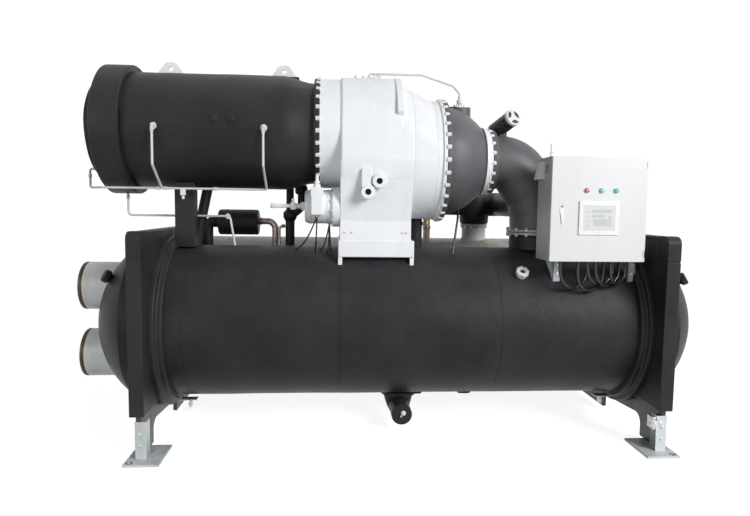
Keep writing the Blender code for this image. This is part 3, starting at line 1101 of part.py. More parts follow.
def add_panel():
    left, right = PANEL_LEFT, PANEL_RIGHT
    low, high = PANEL_BOTTOM, PANEL_BOTTOM + PANEL_HEIGHT
    case = block("panel_case", (left, PANEL_FRONT, low), (right, PANEL_BACK, high), "panel_white")
    inside = block("panel_hollow", (left + PANEL_WALL, PANEL_FRONT - 0.02, low + PANEL_WALL),
                   (right - PANEL_WALL, PANEL_BACK - PANEL_WALL, high - PANEL_WALL), None)
    cut(case, inside)

    hinge = bpy.data.objects.new("door_hinge", None)
    bpy.context.collection.objects.link(hinge)
    hinge.parent = plant
    pivot = (HINGE_X, HINGE_Y, low)
    hinge.location = pivot
    door = block("panel_door", (left, DOOR_FRONT, low), (right, DOOR_BACK, high), "panel_white", 0.003,
                 hinge, pivot)
    for number, middle in enumerate(HINGE_HEIGHTS):
        half = HINGE_NOTCH / 2
        notch = block(f"hinge_notch_{number}",
                      (right - HINGE_NOTCH_WIDTH, DOOR_FRONT - 0.01, low + middle - half),
                      (right + 0.01, DOOR_BACK + 0.01, low + middle + half), None, 0.0, hinge, pivot)
        cut(door, notch)
        reach = half + HINGE_PIN_REACH + 0.002
        cut(door, cylinder(f"hinge_bore_{number}", HINGE_PIN_RADIUS + HINGE_CLEARANCE, 2 * reach, None,
                           (0, 0, middle - reach), Z_AXIS, PIPE_SIDES, hinge))
        barrel = half - 0.001
        pin = barrel + HINGE_PIN_REACH
        outline = [(-pin, HINGE_PIN_RADIUS), (-barrel, HINGE_PIN_RADIUS), (-barrel, HINGE_BARREL_RADIUS),
                   (barrel, HINGE_BARREL_RADIUS), (barrel, HINGE_PIN_RADIUS), (pin, HINGE_PIN_RADIUS)]
        knuckle = turned(f"hinge_knuckle_{number}", outline, None, (HINGE_X, HINGE_Y, low + middle), Z_AXIS,
                         PIPE_SIDES)
        arm = block(f"hinge_arm_{number}", (HINGE_X - 0.005, HINGE_Y, low + middle - barrel + 0.002),
                    (HINGE_X + 0.005, PANEL_FRONT + 0.010, low + middle + barrel - 0.002), None)
        fuse(case, knuckle, arm)

    for number, route in enumerate(CABLE_ROUTES):
        for end, (x, y, _) in (("front", route[0]), ("back", route[-1])):
            fuse(case, cylinder(f"cable_gland_{number}_{end}", GLAND_RADIUS, GLAND_HEIGHT + 0.003, None,
                                (left + x, PANEL_FRONT + y, low - GLAND_HEIGHT), Z_AXIS, PIPE_SIDES))

    face = DOOR_FRONT - GAP
    middle_x, middle_z = left + SCREEN_X, low + SCREEN_Z
    block("panel_screen", (middle_x - SCREEN_WIDTH / 2, face - SCREEN_PROUD, middle_z - SCREEN_HEIGHT / 2),
          (middle_x + SCREEN_WIDTH / 2, face, middle_z + SCREEN_HEIGHT / 2), "screen", 0.003, hinge, pivot)
    block("panel_lock", (left + LOCK_X - LOCK_WIDTH / 2, face - LOCK_PROUD, low + LOCK_Z - LOCK_HEIGHT / 2),
          (left + LOCK_X + LOCK_WIDTH / 2, face, low + LOCK_Z + LOCK_HEIGHT / 2), "panel_white", 0.002,
          hinge, pivot)
    bezel, lens = LIGHT_PROUD / 2, LIGHT_RADIUS * 0.8
    outline = [(0, LIGHT_RADIUS), (bezel, LIGHT_RADIUS), (bezel, lens), (LIGHT_PROUD * 0.85, lens * 0.88),
               (LIGHT_PROUD, lens * 0.45)]
    for name, x in LIGHT_PLACES:
        finish = "lens_red" if name.endswith("red") else "lens_green"
        turned(name, outline, finish, (left + x - HINGE_X, face - HINGE_Y, LIGHT_Z), -Y_AXIS, PIPE_SIDES,
               parent=hinge)

    for word, x in zip(("left", "right"), BRACKET_PLACES):
        x0 = left + x
        front = BRACKET_FRONT
        bracket = block("panel_bracket_" + word, (x0, front, SEAT_START),
                        (x0 + BRACKET_WIDTH, front + BRACKET_THICK, low - GAP), "foot_grey")
        web = block("bracket_web_" + word, (x0, front + BRACKET_THICK / 2, SEAT_START),
                    (x0 + BRACKET_THICK, front + BRACKET_DEPTH, low - GAP), None)
        fuse(bracket, web)
        cut(bracket, shell_cutter("bracket_seat_" + word))

    top, bottom = low + HOOD_TOP, low + HOOD_TOP - HOOD_HEIGHT
    wall = left + PANEL_WALL / 2
    outline = [(wall, bottom), (wall, top), (left - HOOD_TOP_REACH, top), (left - HOOD_REACH, bottom)]
    fuse(case, slab("panel_vent_hood", outline, HOOD_Y - HOOD_WIDTH / 2, HOOD_Y + HOOD_WIDTH / 2, None,
                    plane="XZ"))


def add_cables():
    """Each route is seen from the front as (x, depth, height), from the panel's lower left corner."""
    for number, places in enumerate(CABLE_ROUTES):
        points = [(PANEL_LEFT + x, PANEL_FRONT + y, PANEL_BOTTOM + z) for x, y, z in places]
        route = smooth_route(points, CABLE_SPACING)
        lead = Vector((0, 0, CABLE_LEAD))
        route = [route[0], route[0] - lead] + route[1:-1] + [route[-1] - lead, route[-1]]
        tube(f"panel_cable_{number + 1}", route, CABLE_RADIUS, "cable", 2)


clear_scene()
plant = bpy.data.objects.new("plant", None)
bpy.context.collection.objects.link(plant)
plant.location = (-MACHINE_MIDDLE_X, -MACHINE_MIDDLE_Y, 0)

add_evaporator()
add_foot("front_left", -1, -1)
add_foot("front_right", 1, -1)
add_foot("rear_left", -1, 1)
add_foot("rear_right", 1, 1)
add_condenser()
add_motor()
add_compressor()
add_pipework()
add_panel()
add_cables()
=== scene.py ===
from math import cos, pi, radians, sin, sqrt, tan

import bmesh
import bpy
from mathutils import Matrix, Vector, noise


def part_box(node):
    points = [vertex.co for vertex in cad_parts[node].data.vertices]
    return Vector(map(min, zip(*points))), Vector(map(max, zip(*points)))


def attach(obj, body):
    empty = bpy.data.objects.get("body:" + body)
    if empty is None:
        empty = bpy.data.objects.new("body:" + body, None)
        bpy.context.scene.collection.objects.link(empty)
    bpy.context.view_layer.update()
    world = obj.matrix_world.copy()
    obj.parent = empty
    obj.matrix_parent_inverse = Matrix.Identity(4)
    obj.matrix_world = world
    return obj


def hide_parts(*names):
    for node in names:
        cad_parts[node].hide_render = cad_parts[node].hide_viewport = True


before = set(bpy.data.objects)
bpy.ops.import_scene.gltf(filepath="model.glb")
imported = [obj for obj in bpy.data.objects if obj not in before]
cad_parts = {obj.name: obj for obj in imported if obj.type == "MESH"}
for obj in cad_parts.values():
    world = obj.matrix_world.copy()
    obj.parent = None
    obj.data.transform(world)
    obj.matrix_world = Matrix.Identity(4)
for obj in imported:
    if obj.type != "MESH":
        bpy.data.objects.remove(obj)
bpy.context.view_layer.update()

# The place and the light: a pale floor, a large soft lamp in front on the right, a weaker one on the left
# and one overhead, with the camera where the photograph was taken. Every piece is drawn in the machine's
# own metres, from a zero on the floor under the middle of the evaporator's axis.
shell_low, shell_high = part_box("evaporator_shell")
ORIGIN = Vector(((shell_low.x + shell_high.x) / 2, (shell_low.y + shell_high.y) / 2, 0))
FOCAL_PIXELS = 591.3
FRAME_WIDTH = 750
CAMERA_PLACE = ORIGIN + Vector((-0.50771, -4.56048, 1.679))
YAW, PITCH, ROLL = 0.06873, 0.08515, 0.01277

camera = bpy.data.objects.new("camera", bpy.data.cameras.new("camera"))
bpy.context.scene.collection.objects.link(camera)
camera.data.sensor_width = 36.0
camera.data.lens = FOCAL_PIXELS / FRAME_WIDTH * camera.data.sensor_width
camera.data.clip_end = 200.0
ahead = Vector((sin(YAW) * cos(PITCH), cos(YAW) * cos(PITCH), -sin(PITCH)))
right = Vector((cos(YAW), -sin(YAW), 0))
upward = right.cross(ahead)
turned_right = right * cos(ROLL) + upward * sin(ROLL)
turned_up = upward * cos(ROLL) - right * sin(ROLL)
camera.matrix_world = (Matrix.Translation(CAMERA_PLACE)
                       @ Matrix((turned_right, turned_up, -ahead)).transposed().to_4x4())
bpy.context.scene.camera = camera
bpy.context.scene.view_settings.view_transform = "Standard"


def white_to_camera(tree, surface, strength):
    """Adds white light that the camera, clear glass and reflections see and that lights nothing else."""
    path = tree.nodes.new("ShaderNodeLightPath")
    seen = tree.nodes.new("ShaderNodeMath")
    seen.operation = "MAXIMUM"
    tree.links.new(path.outputs["Is Camera Ray"], seen.inputs[0])
    tree.links.new(path.outputs["Is Transmission Ray"], seen.inputs[1])
    mirrored = tree.nodes.new("ShaderNodeMath")
    mirrored.operation = "MAXIMUM"
    tree.links.new(seen.outputs[0], mirrored.inputs[0])
    tree.links.new(path.outputs["Is Glossy Ray"], mirrored.inputs[1])
    scaled = tree.nodes.new("ShaderNodeMath")
    scaled.operation = "MULTIPLY"
    scaled.inputs[1].default_value = strength
    tree.links.new(mirrored.outputs[0], scaled.inputs[0])
    glow = tree.nodes.new("ShaderNodeEmission")
    tree.links.new(scaled.outputs[0], glow.inputs["Strength"])
    both = tree.nodes.new("ShaderNodeAddShader")
    tree.links.new(surface, both.inputs[0])
    tree.links.new(glow.outputs[0], both.inputs[1])
    return both.outputs[0]


world = bpy.data.worlds.new("studio")
bpy.context.scene.world = world
world.use_nodes = True
sky = world.node_tree.nodes["Background"]
sky.inputs["Color"].default_value = (0.96, 0.98, 1.0, 1.0)
sky.inputs["Strength"].default_value = 0.13
world.node_tree.links.new(white_to_camera(world.node_tree, sky.outputs[0], 0.95),
                          world.node_tree.nodes["World Output"].inputs["Surface"])

floor_mesh = bpy.data.meshes.new("floor")
floor_mesh.from_pydata([(-9, -9, 0), (9, -9, 0), (9, 9, 0), (-9, 9, 0)], [], [(0, 1, 2, 3)])
floor = bpy.data.objects.new("floor", floor_mesh)
floor.location.z = -0.0005
bpy.context.scene.collection.objects.link(floor)
floor_paint = bpy.data.materials.new("floor")
floor_paint.use_nodes = True
floor_shader = floor_paint.node_tree.nodes["Principled BSDF"]
floor_shader.inputs["Base Color"].default_value = (0.50, 0.50, 0.51, 1.0)
floor_shader.inputs["Roughness"].default_value = 0.8
floor_shader.inputs["Specular IOR Level"].default_value = 0.1
floor_paint.node_tree.links.new(white_to_camera(floor_paint.node_tree, floor_shader.outputs[0], 0.88),
                                floor_paint.node_tree.nodes["Material Output"].inputs["Surface"])
floor.data.materials.append(floor_paint)

# Name, place, what it looks at, width, height, power and colour of each lamp
LAMPS = (
    ("key_lamp", (7.6, -9.2, 6.0), (0.3, -0.4, 1.3), 4.6, 4.6, 1400, (1.0, 0.995, 0.99)),
    ("fill_lamp", (-5.5, -5.6, 2.8), (-0.8, -0.3, 1.2), 3.0, 2.4, 105, (1.0, 1.0, 0.99)),
    ("top_lamp", (0.5, 1.0, 6.5), (0.0, 0.0, 1.0), 5.0, 4.0, 25, (1.0, 1.0, 1.0)),
)
for name, place, aim, width, height, power, colour in LAMPS:
    lamp = bpy.data.objects.new(name, bpy.data.lights.new(name, "AREA"))
    bpy.context.scene.collection.objects.link(lamp)
    lamp.data.shape = "RECTANGLE"
    lamp.data.size = width
    lamp.data.size_y = height
    lamp.data.energy = power
    lamp.data.color = colour
    lamp.location = place
    lamp.rotation_euler = (Vector(aim) - Vector(place)).to_track_quat("-Z", "Y").to_euler()


# Power and signal cables: five loops of glossy black sheathed cable that hang under the control panel,
# from screwed glands in its underside near the door to glands near its back. They follow the routes that
# the solids do: x from the panel's left side, y behind its front and z from its underside.
PANEL_CORNER = Vector((0.958, -0.5965, 1.326))
CABLE_DIAMETER = 0.022
CABLE_POINTS = 26
CABLE_ROUTES = (
    ((0.098, 0.022, -0.0143), (0.098, 0.022, -0.038), (0.098, 0.022, -0.061), (0.114, 0.030, -0.128),
     (0.158, 0.050, -0.177), (0.219, 0.079, -0.195), (0.279, 0.107, -0.177), (0.324, 0.127, -0.128),
     (0.340, 0.135, -0.061), (0.340, 0.135, -0.038), (0.340, 0.135, -0.0143)),
    ((0.224, 0.022, -0.0143), (0.224, 0.022, -0.050), (0.224, 0.022, -0.085), (0.240, 0.030, -0.151),
     (0.283, 0.050, -0.198), (0.342, 0.079, -0.216), (0.401, 0.107, -0.198), (0.444, 0.127, -0.151),
     (0.460, 0.135, -0.085), (0.460, 0.135, -0.050), (0.460, 0.135, -0.0143)),
    ((0.292, 0.022, -0.0143), (0.292, 0.022, -0.026), (0.292, 0.022, -0.037), (0.308, 0.030, -0.104),
     (0.352, 0.050, -0.152), (0.412, 0.079, -0.170), (0.472, 0.107, -0.152), (0.516, 0.127, -0.104),
     (0.532, 0.135, -0.037), (0.532, 0.135, -0.026), (0.532, 0.135, -0.0143)),
    ((0.350, 0.022, -0.0143), (0.350, 0.022, -0.033), (0.350, 0.022, -0.051), (0.365, 0.030, -0.114),
     (0.407, 0.050, -0.161), (0.464, 0.079, -0.178), (0.521, 0.107, -0.161), (0.563, 0.127, -0.114),
     (0.578, 0.135, -0.051), (0.578, 0.135, -0.033), (0.578, 0.135, -0.0143)),
    ((0.459, 0.022, -0.0143), (0.459, 0.022, -0.041), (0.459, 0.022, -0.068), (0.470, 0.030, -0.117),
     (0.499, 0.050, -0.153), (0.539, 0.079, -0.166), (0.580, 0.107, -0.153), (0.609, 0.127, -0.117),
     (0.620, 0.135, -0.068), (0.620, 0.135, -0.041), (0.620, 0.135, -0.0143)),
)


def smooth_route(points, count):
    """Evenly spaced points on a Catmull-Rom curve through the points of a route, and its length."""
    knots = [Vector(point) for point in points]
    knots = [2 * knots[0] - knots[1]] + knots + [2 * knots[-1] - knots[-2]]
    dense = []
    for a, b, c, d in zip(knots, knots[1:], knots[2:], knots[3:]):
        for i in range(20):
            t = i / 20
            dense.append(0.5 * (2 * b + (c - a) * t + (2 * a - 5 * b + 4 * c - d) * t * t
                                + (3 * b - 3 * c + d - a) * t ** 3))
    dense.append(knots[-2])
    lengths = [0.0]
    for a, b in zip(dense, dense[1:]):
        lengths.append(lengths[-1] + (b - a).length)
    route = []
    i = 0
    for k in range(count):
        goal = lengths[-1] * k / (count - 1)
        while i < len(dense) - 2 and lengths[i + 1] < goal:
            i += 1
        share = (goal - lengths[i]) / (lengths[i + 1] - lengths[i])
        route.append(dense[i].lerp(dense[i + 1], min(1.0, share)))
    return route, lengths[-1]


def new_material(name, roughness, metallic=0.0):
    """A material with its tree and shader, ready for the nodes that feed them."""
    made = bpy.data.materials.new(name)
    made.use_nodes = True
    shader = made.node_tree.nodes["Principled BSDF"]
    shader.inputs["Roughness"].default_value = roughness
    shader.inputs["Metallic"].default_value = metallic
    return made, made.node_tree, shader


def lumps(tree, scale, detail=3.0, stretch=(1, 1, 1)):
    """Noise in the piece's own metres, with scale in lumps to the metre."""
    spot = tree.nodes.new("ShaderNodeTexCoord")
    sizing = tree.nodes.new("ShaderNodeMapping")
    sizing.inputs["Scale"].default_value = [scale * s for s in stretch]
    tree.links.new(spot.outputs["Object"], sizing.inputs["Vector"])
    grain = tree.nodes.new("ShaderNodeTexNoise")
    grain.inputs["Scale"].default_value = 1.0
    grain.inputs["Detail"].default_value = detail
    tree.links.new(sizing.outputs[0], grain.inputs["Vector"])
    return grain.outputs["Fac"]


def span(tree, value, low, high, start=0.0, end=1.0):
    """A value between start and end, laid out again from low to high."""
    scale = tree.nodes.new("ShaderNodeMapRange")
    scale.inputs["From Min"].default_value = start
    scale.inputs["From Max"].default_value = end
    scale.inputs["To Min"].default_value = low
    scale.inputs["To Max"].default_value = high
    tree.links.new(value, scale.inputs["Value"])
    return scale.outputs["Result"]


def blend(tree, value, first, second):
    """Two colours, or the outputs that carry them, mixed by a value."""
    mixer = tree.nodes.new("ShaderNodeMix")
    mixer.data_type = "RGBA"
    tree.links.new(value, mixer.inputs["Factor"])
    for slot_name, colour in (("A", first), ("B", second)):
        socket = [s for s in mixer.inputs if s.name == slot_name and s.type == "RGBA"][0]
        if isinstance(colour, tuple):
            socket.default_value = (*colour, 1.0)
        else:
            tree.links.new(colour, socket)
    return [s for s in mixer.outputs if s.type == "RGBA"][0]


def bump(tree, shader, height, distance):
    relief = tree.nodes.new("ShaderNodeBump")
    relief.inputs["Distance"].default_value = distance
    tree.links.new(height, relief.inputs["Height"])
    tree.links.new(relief.outputs["Normal"], shader.inputs["Normal"])


def grained(name, first, second, tone, shine, roughness, relief, distance, metallic=0.0):
    """A material of two tones. Tone, shine and relief are each the scale and detail of their lumps."""
    made, tree, shader = new_material(name, roughness[0], metallic)
    tree.links.new(blend(tree, lumps(tree, *tone), first, second), shader.inputs["Base Color"])
    tree.links.new(span(tree, lumps(tree, *shine), *roughness), shader.inputs["Roughness"])
    bump(tree, shader, lumps(tree, *relief), distance)
    return made


cable_sheath = grained("cable_sheath", (0.008, 0.008, 0.009), (0.024, 0.024, 0.026), (30,), (60,),
                       (0.18, 0.34), (240,), 0.0004)

for number, places in enumerate(CABLE_ROUTES, start=1):
    route, length = smooth_route([ORIGIN + PANEL_CORNER + Vector(place) for place in places], CABLE_POINTS)
    line = bpy.data.curves.new(f"cable_{number}", "CURVE")
    line.dimensions = "3D"
    line.bevel_depth = CABLE_DIAMETER / 2
    line.bevel_resolution = 6
    line.resolution_u = 4
    line.use_fill_caps = True
    spline = line.splines.new("BEZIER")
    spline.bezier_points.add(len(route) - 1)
    for knot, point in zip(spline.bezier_points, route):
        knot.co = point
        knot.handle_left_type = knot.handle_right_type = "AUTO"
    line.materials.append(cable_sheath)
    cable = bpy.data.objects.new(f"cable_{number}", line)
    bpy.context.scene.collection.objects.link(cable)
    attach(cable, "machine")
    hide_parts(f"panel_cable_{number}")


# Evaporator shell: a steel drum wrapped in sheets of black nitrile rubber foam, glued edge to edge, whose
# skin has a soft cool sheen. Two rolls of the same foam cover the weld neck at each end plate, and the
# sheets' butt joints run round the drum as fine lines.
EVAP_HEIGHT = 0.814
EVAP_AXIS = Vector((0, 0, EVAP_HEIGHT))
EVAP_RADIUS = 0.565
SADDLE_RADIUS = 0.5655
SHEET_INNER = 1.735
SHEET_OUTER = 1.830
ROLL_RADIUS = 0.640
SEAMS = (-1.540, -0.478, -0.462, 0.665)
X_AXIS = Vector((1, 0, 0))
Y_AXIS = Vector((0, 1, 0))
Z_AXIS = Vector((0, 0, 1))

foam_skin = bpy.data.node_groups.new("foam_skin", "ShaderNodeTree")
for socket_name, kind, default in (("Dark", "NodeSocketColor", (0.015, 0.015, 0.017, 1)),
                                   ("Pale", "NodeSocketColor", (0.028, 0.028, 0.032, 1)),
                                   ("Dust", "NodeSocketFloat", 0.35)):
    foam_skin.interface.new_socket(socket_name, in_out="INPUT", socket_type=kind).default_value = default
for socket_name, kind in (("Color", "NodeSocketColor"), ("Roughness", "NodeSocketFloat"),
                          ("Height", "NodeSocketFloat")):
    foam_skin.interface.new_socket(socket_name, in_out="OUTPUT", socket_type=kind)
given = foam_skin.nodes.new("NodeGroupInput")
result = foam_skin.nodes.new("NodeGroupOutput")


def calculate(tree, operation, first, second):
    """A Math node on two outputs or plain numbers."""
    sum_node = tree.nodes.new("ShaderNodeMath")
    sum_node.operation = operation
    for socket, value in zip(sum_node.inputs, (first, second)):
        if isinstance(value, (int, float)):
            socket.default_value = value
        else:
            tree.links.new(value, socket)
    return sum_node.outputs[0]


def facing_up(tree):
    """How much a surface faces upwards, from 0 to 1."""
    shape = tree.nodes.new("ShaderNodeNewGeometry")
    split = tree.nodes.new("ShaderNodeSeparateXYZ")
    tree.links.new(shape.outputs["Normal"], split.inputs[0])
    return span(tree, split.outputs["Z"], 0.0, 1.0, 0.15, 1.0)


patches = span(foam_skin, lumps(foam_skin, 2.6, 4.0), 0.0, 1.0, 0.35, 0.68)
skin_tone = blend(foam_skin, patches, given.outputs["Dark"], given.outputs["Pale"])
settled = calculate(foam_skin, "MULTIPLY", facing_up(foam_skin), lumps(foam_skin, 9, 5.0))
settled = calculate(foam_skin, "MULTIPLY", settled, given.outputs["Dust"])
foam_skin.links.new(blend(foam_skin, settled, skin_tone, (0.10, 0.10, 0.105)), result.inputs["Color"])
polish = calculate(foam_skin, "ADD", span(foam_skin, lumps(foam_skin, 5, 3.0), 0.36, 0.52),
                   calculate(foam_skin, "MULTIPLY", settled, 0.4))
foam_skin.links.new(polish, result.inputs["Roughness"])
dimples = calculate(foam_skin, "MULTIPLY", lumps(foam_skin, 260, 2.0), 0.30)
foam_skin.links.new(calculate(foam_skin, "ADD", dimples, lumps(foam_skin, 14, 3.0)), result.inputs["Height"])


def place_group(tree, shader, group, relief, **values):
    """Puts a group in a material with its own values and feeds the shader from it."""
    node = tree.nodes.new("ShaderNodeGroup")
    node.node_tree = group
    for socket_name, value in values.items():
        node.inputs[socket_name].default_value = (*value, 1.0) if isinstance(value, tuple) else value
    tree.links.new(node.outputs["Color"], shader.inputs["Base Color"])
    tree.links.new(node.outputs["Roughness"], shader.inputs["Roughness"])
    bump(tree, shader, node.outputs["Height"], relief)
    return node


foam, tree, shader = new_material("nitrile_foam", 0.45)
shader.inputs["Specular IOR Level"].default_value = 0.15
place_group(tree, shader, foam_skin, 0.0035)
# A paler copy of the same foam for the suction cover and the elbow: its paler tones are painted light,
# standing in for the brighter light and sheen that fall on these parts.
sheen_painted_foam, tree, shader = new_material("foam_with_painted_sheen", 0.45)
shader.inputs["Specular IOR Level"].default_value = 0.3
place_group(tree, shader, foam_skin, 0.0025, Dark=(0.085, 0.085, 0.092), Pale=(0.125, 0.125, 0.137),
            Dust=0.2)


def turned(outline, centre, axis, sides=96, closed=False):
    """Spins (along, radius) points round an axis through centre; its ends are filled unless it's closed."""
    bm = bmesh.new()
    tilt = Vector(axis).to_track_quat("Z", "Y")
    centre = Vector(centre)
    rings = []
    for along, radius in outline:
        if radius < 1e-6:
            rings.append([bm.verts.new(centre + tilt @ Vector((0, 0, along)))])
            continue
        turns = [2 * pi * i / sides for i in range(sides)]
        rings.append([bm.verts.new(centre + tilt @ Vector((radius * cos(t), radius * sin(t), along)))
                      for t in turns])
    pairs = list(zip(rings, rings[1:]))
    if closed:
        pairs.append((rings[-1], rings[0]))
    for near, far in pairs:
        for i in range(sides):
            j = (i + 1) % sides
            corners = [near[i % len(near)], near[j % len(near)], far[j % len(far)], far[i % len(far)]]
            bm.faces.new(list(dict.fromkeys(corners)))
    for ring in (rings[0], rings[-1]):
        if not closed and len(ring) > 2:
            bm.faces.new(ring)
    return bm


def eased(outline, radius, steps=3):
    """The same path with its corners turned on arcs of that radius, or less where there's no room."""
    points = [Vector(point) for point in outline]
    path = [points[0]]
    for before, corner, after in zip(points, points[1:], points[2:]):
        back, on = (before - corner), (after - corner)
        half = back.angle(on, pi) / 2
        reach = min(radius / tan(half) if half < 1.56 else 0, back.length * 0.48, on.length * 0.48)
        if reach < 1e-5:
            path.append(corner)
            continue
        back.normalize()
        on.normalize()
        middle = corner + (back + on).normalized() * reach / cos(half)
        sweep = pi - 2 * half
        for i in range(steps + 1):
            t = sweep * i / steps
            path.append(middle + ((corner + back * reach - middle) * sin(sweep - t)
                                  + (corner + on * reach - middle) * sin(t)) / sin(sweep))
    return [tuple(point) for point in path + [points[-1]]]


def peg(start, end, radius, ease, steps=3):
    """Half outline of a solid peg between two places along its axis, with eased edges."""
    return eased([(start, 0), (start, radius), (end, radius), (end, 0)], ease, steps)


def sliced(outline, step):
    """The same outline with its long straights divided, so that the surface can take a slight waviness."""
    parts = [outline[0]]
    for a, b in zip(outline, outline[1:]):
        count = max(1, round((Vector(b) - Vector(a)).length / step))
        parts += [tuple(Vector(a).lerp(Vector(b), i / count)) for i in range(1, count + 1)]
    return parts


def wavy(bm, swell, scale=3.0):
    """Moves a surface in and out a little, as glued foam lies on the steel under it."""
    bm.normal_update()
    moves = [vert.normal * noise.noise(vert.co * scale) * swell for vert in bm.verts]
    for vert, move in zip(bm.verts, moves):
        vert.co += move
    return bm


def piece(name, bm, material, replaces=(), body="machine", smooth=40):
    """Makes a piece from its mesh, in the machine's own metres, on the body that carries it."""
    bmesh.ops.recalc_face_normals(bm, faces=bm.faces)
    mesh = bpy.data.meshes.new(name)
    bm.to_mesh(mesh)
    bm.free()
    mesh.shade_smooth()
    mesh.set_sharp_from_angle(angle=radians(smooth))
    mesh.materials.append(material)
    made = bpy.data.objects.new(name, mesh)
    made.location = ORIGIN
    made.modifiers.new("even_shading", "WEIGHTED_NORMAL").keep_sharp = True
    bpy.context.scene.collection.objects.link(made)
    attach(made, body)
    if replaces:
        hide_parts(*([replaces] if isinstance(replaces, str) else replaces))
    return made


def grooves(start, end, radius, places, depth=0.0022, width=0.004):
    """A straight outline between two places with a fine joint line sunk at each of the places."""
    outline = [(start, radius)]
    for x in places:
        outline += [(x - width, radius), (x - width / 2, radius - depth), (x + width / 2, radius - depth),
                    (x + width, radius)]
    return outline + [(end, radius)]


inner = SHEET_INNER - 0.0005
rolls = [(inner, ROLL_RADIUS), (inner - 0.038, ROLL_RADIUS), (inner - 0.042, 0.606), (inner - 0.082, 0.604),
         (inner - 0.086, EVAP_RADIUS)]
left_end = eased([(-x, radius) for x, radius in rolls], 0.014)
right_end = eased(rolls[::-1], 0.014)
drum = left_end + sliced(grooves(-inner + 0.10, inner - 0.10, EVAP_RADIUS, SEAMS), 0.055) + right_end
piece("evaporator_foam", wavy(turned(drum, EVAP_AXIS, X_AXIS, 144), 0.0022), foam,
      "evaporator_shell")


# Evaporator end plates: welded steel plates wrapped in thick black foam down to the legs, where the black
# painted steel shows. A separate cap of foam covers the top of each front edge, with a joint under it.
SHEET_FRONT = -0.730
SHEET_BACK = 0.650
SHEET_TOP = 1.505
FOAM_BOTTOM = 0.300
FOOT_THICK = 0.016
LEG_CENTRE = 1.780
LEG_STEEL = 0.030
STRIP_BOTTOM = 1.335


def prism(outline, low, high, axis="X", edge=0.0):
    """A slab between two places along an axis, from its outline in the other two, with rounded edges."""
    order = {"X": lambda a, b, c: (c, a, b), "Y": lambda a, b, c: (a, c, b), "Z": lambda a, b, c: (a, b, c)}
    bm = bmesh.new()
    near, far = [[bm.verts.new(order[axis](a, b, along)) for a, b in outline] for along in (low, high)]
    bm.faces.new(near)
    bm.faces.new(far)
    for i in range(len(near)):
        bm.faces.new((near[i - 1], near[i], far[i], far[i - 1]))
    bmesh.ops.recalc_face_normals(bm, faces=bm.faces)
    if edge:
        sharp = [line for line in bm.edges if line.calc_face_angle() > radians(30)]
        bmesh.ops.bevel(bm, geom=sharp, offset=edge, segments=3, affect="EDGES", profile=0.5)
    return bm


def slab(low, high, edge=0.0):
    """A block between two corners, with rounded edges."""
    outline = [(low[1], low[2]), (high[1], low[2]), (high[1], high[2]), (low[1], high[2])]
    return prism(outline, low[0], high[0], "X", edge)


def joined(meshes):
    """One mesh of several."""
    whole = bmesh.new()
    for bm in meshes:
        part = bpy.data.meshes.new("part")
        bm.to_mesh(part)
        bm.free()
        whole.from_mesh(part)
        bpy.data.meshes.remove(part)
    return whole


def paint_group(name, peel):
    """A coat of sprayed paint: soft patches, dust on top, runs of grime and a skin like orange peel."""
    group = bpy.data.node_groups.new(name, "ShaderNodeTree")
    for socket_name, kind in (("Base", "NodeSocketColor"), ("Grime", "NodeSocketColor"),
                              ("Dirt", "NodeSocketFloat")):
        group.interface.new_socket(socket_name, in_out="INPUT", socket_type=kind)
    for socket_name, kind in (("Color", "NodeSocketColor"), ("Roughness", "NodeSocketFloat"),
                              ("Height", "NodeSocketFloat")):
        group.interface.new_socket(socket_name, in_out="OUTPUT", socket_type=kind)
    given, result = group.nodes.new("NodeGroupInput"), group.nodes.new("NodeGroupOutput")
    runs = span(group, lumps(group, 9, 4.0, (1, 1, 0.14)), 0.0, 1.0, 0.48, 0.74)
    spots = span(group, lumps(group, 48, 5.0), 0.0, 1.0, 0.56, 0.70)
    dirt = calculate(group, "MULTIPLY", calculate(group, "ADD", runs,
                                                  calculate(group, "MULTIPLY", spots, 0.5)),
                     given.outputs["Dirt"])
    dust = calculate(group, "MULTIPLY", calculate(group, "MULTIPLY", facing_up(group), lumps(group, 7, 5.0)),
                     given.outputs["Dirt"])
    tone = blend(group, calculate(group, "ADD", dirt, dust), given.outputs["Base"], given.outputs["Grime"])
    group.links.new(tone, result.inputs["Color"])
    gloss = calculate(group, "ADD", span(group, lumps(group, 6, 3.0), 0.30, 0.44),
                      calculate(group, "MULTIPLY", dirt, 0.3))
    group.links.new(gloss, result.inputs["Roughness"])
    skin = calculate(group, "ADD", calculate(group, "MULTIPLY", lumps(group, peel, 2.0), 0.25),
                     lumps(group, 11, 2.0))
    group.links.new(skin, result.inputs["Height"])
    return group


sprayed_paint = paint_group("sprayed_paint", 420)


def sprayed(name, base, grime, dirt, roughness=0.4, relief=0.0012):
    """A coat of sprayed paint in two tones, with more or less dirt on it."""
    made, tree, shader = new_material(name, roughness)
    place_group(tree, shader, sprayed_paint, relief, Base=base, Grime=grime, Dirt=dirt)
    return made


# Black paint for the legs, the vane drive and the cable glands; the same black also serves as painted shade
# in the slots of the drive's cap and of the panel's louvre.
black_paint = sprayed("black_paint", (0.012, 0.012, 0.013), (0.07, 0.066, 0.06), 0.4)

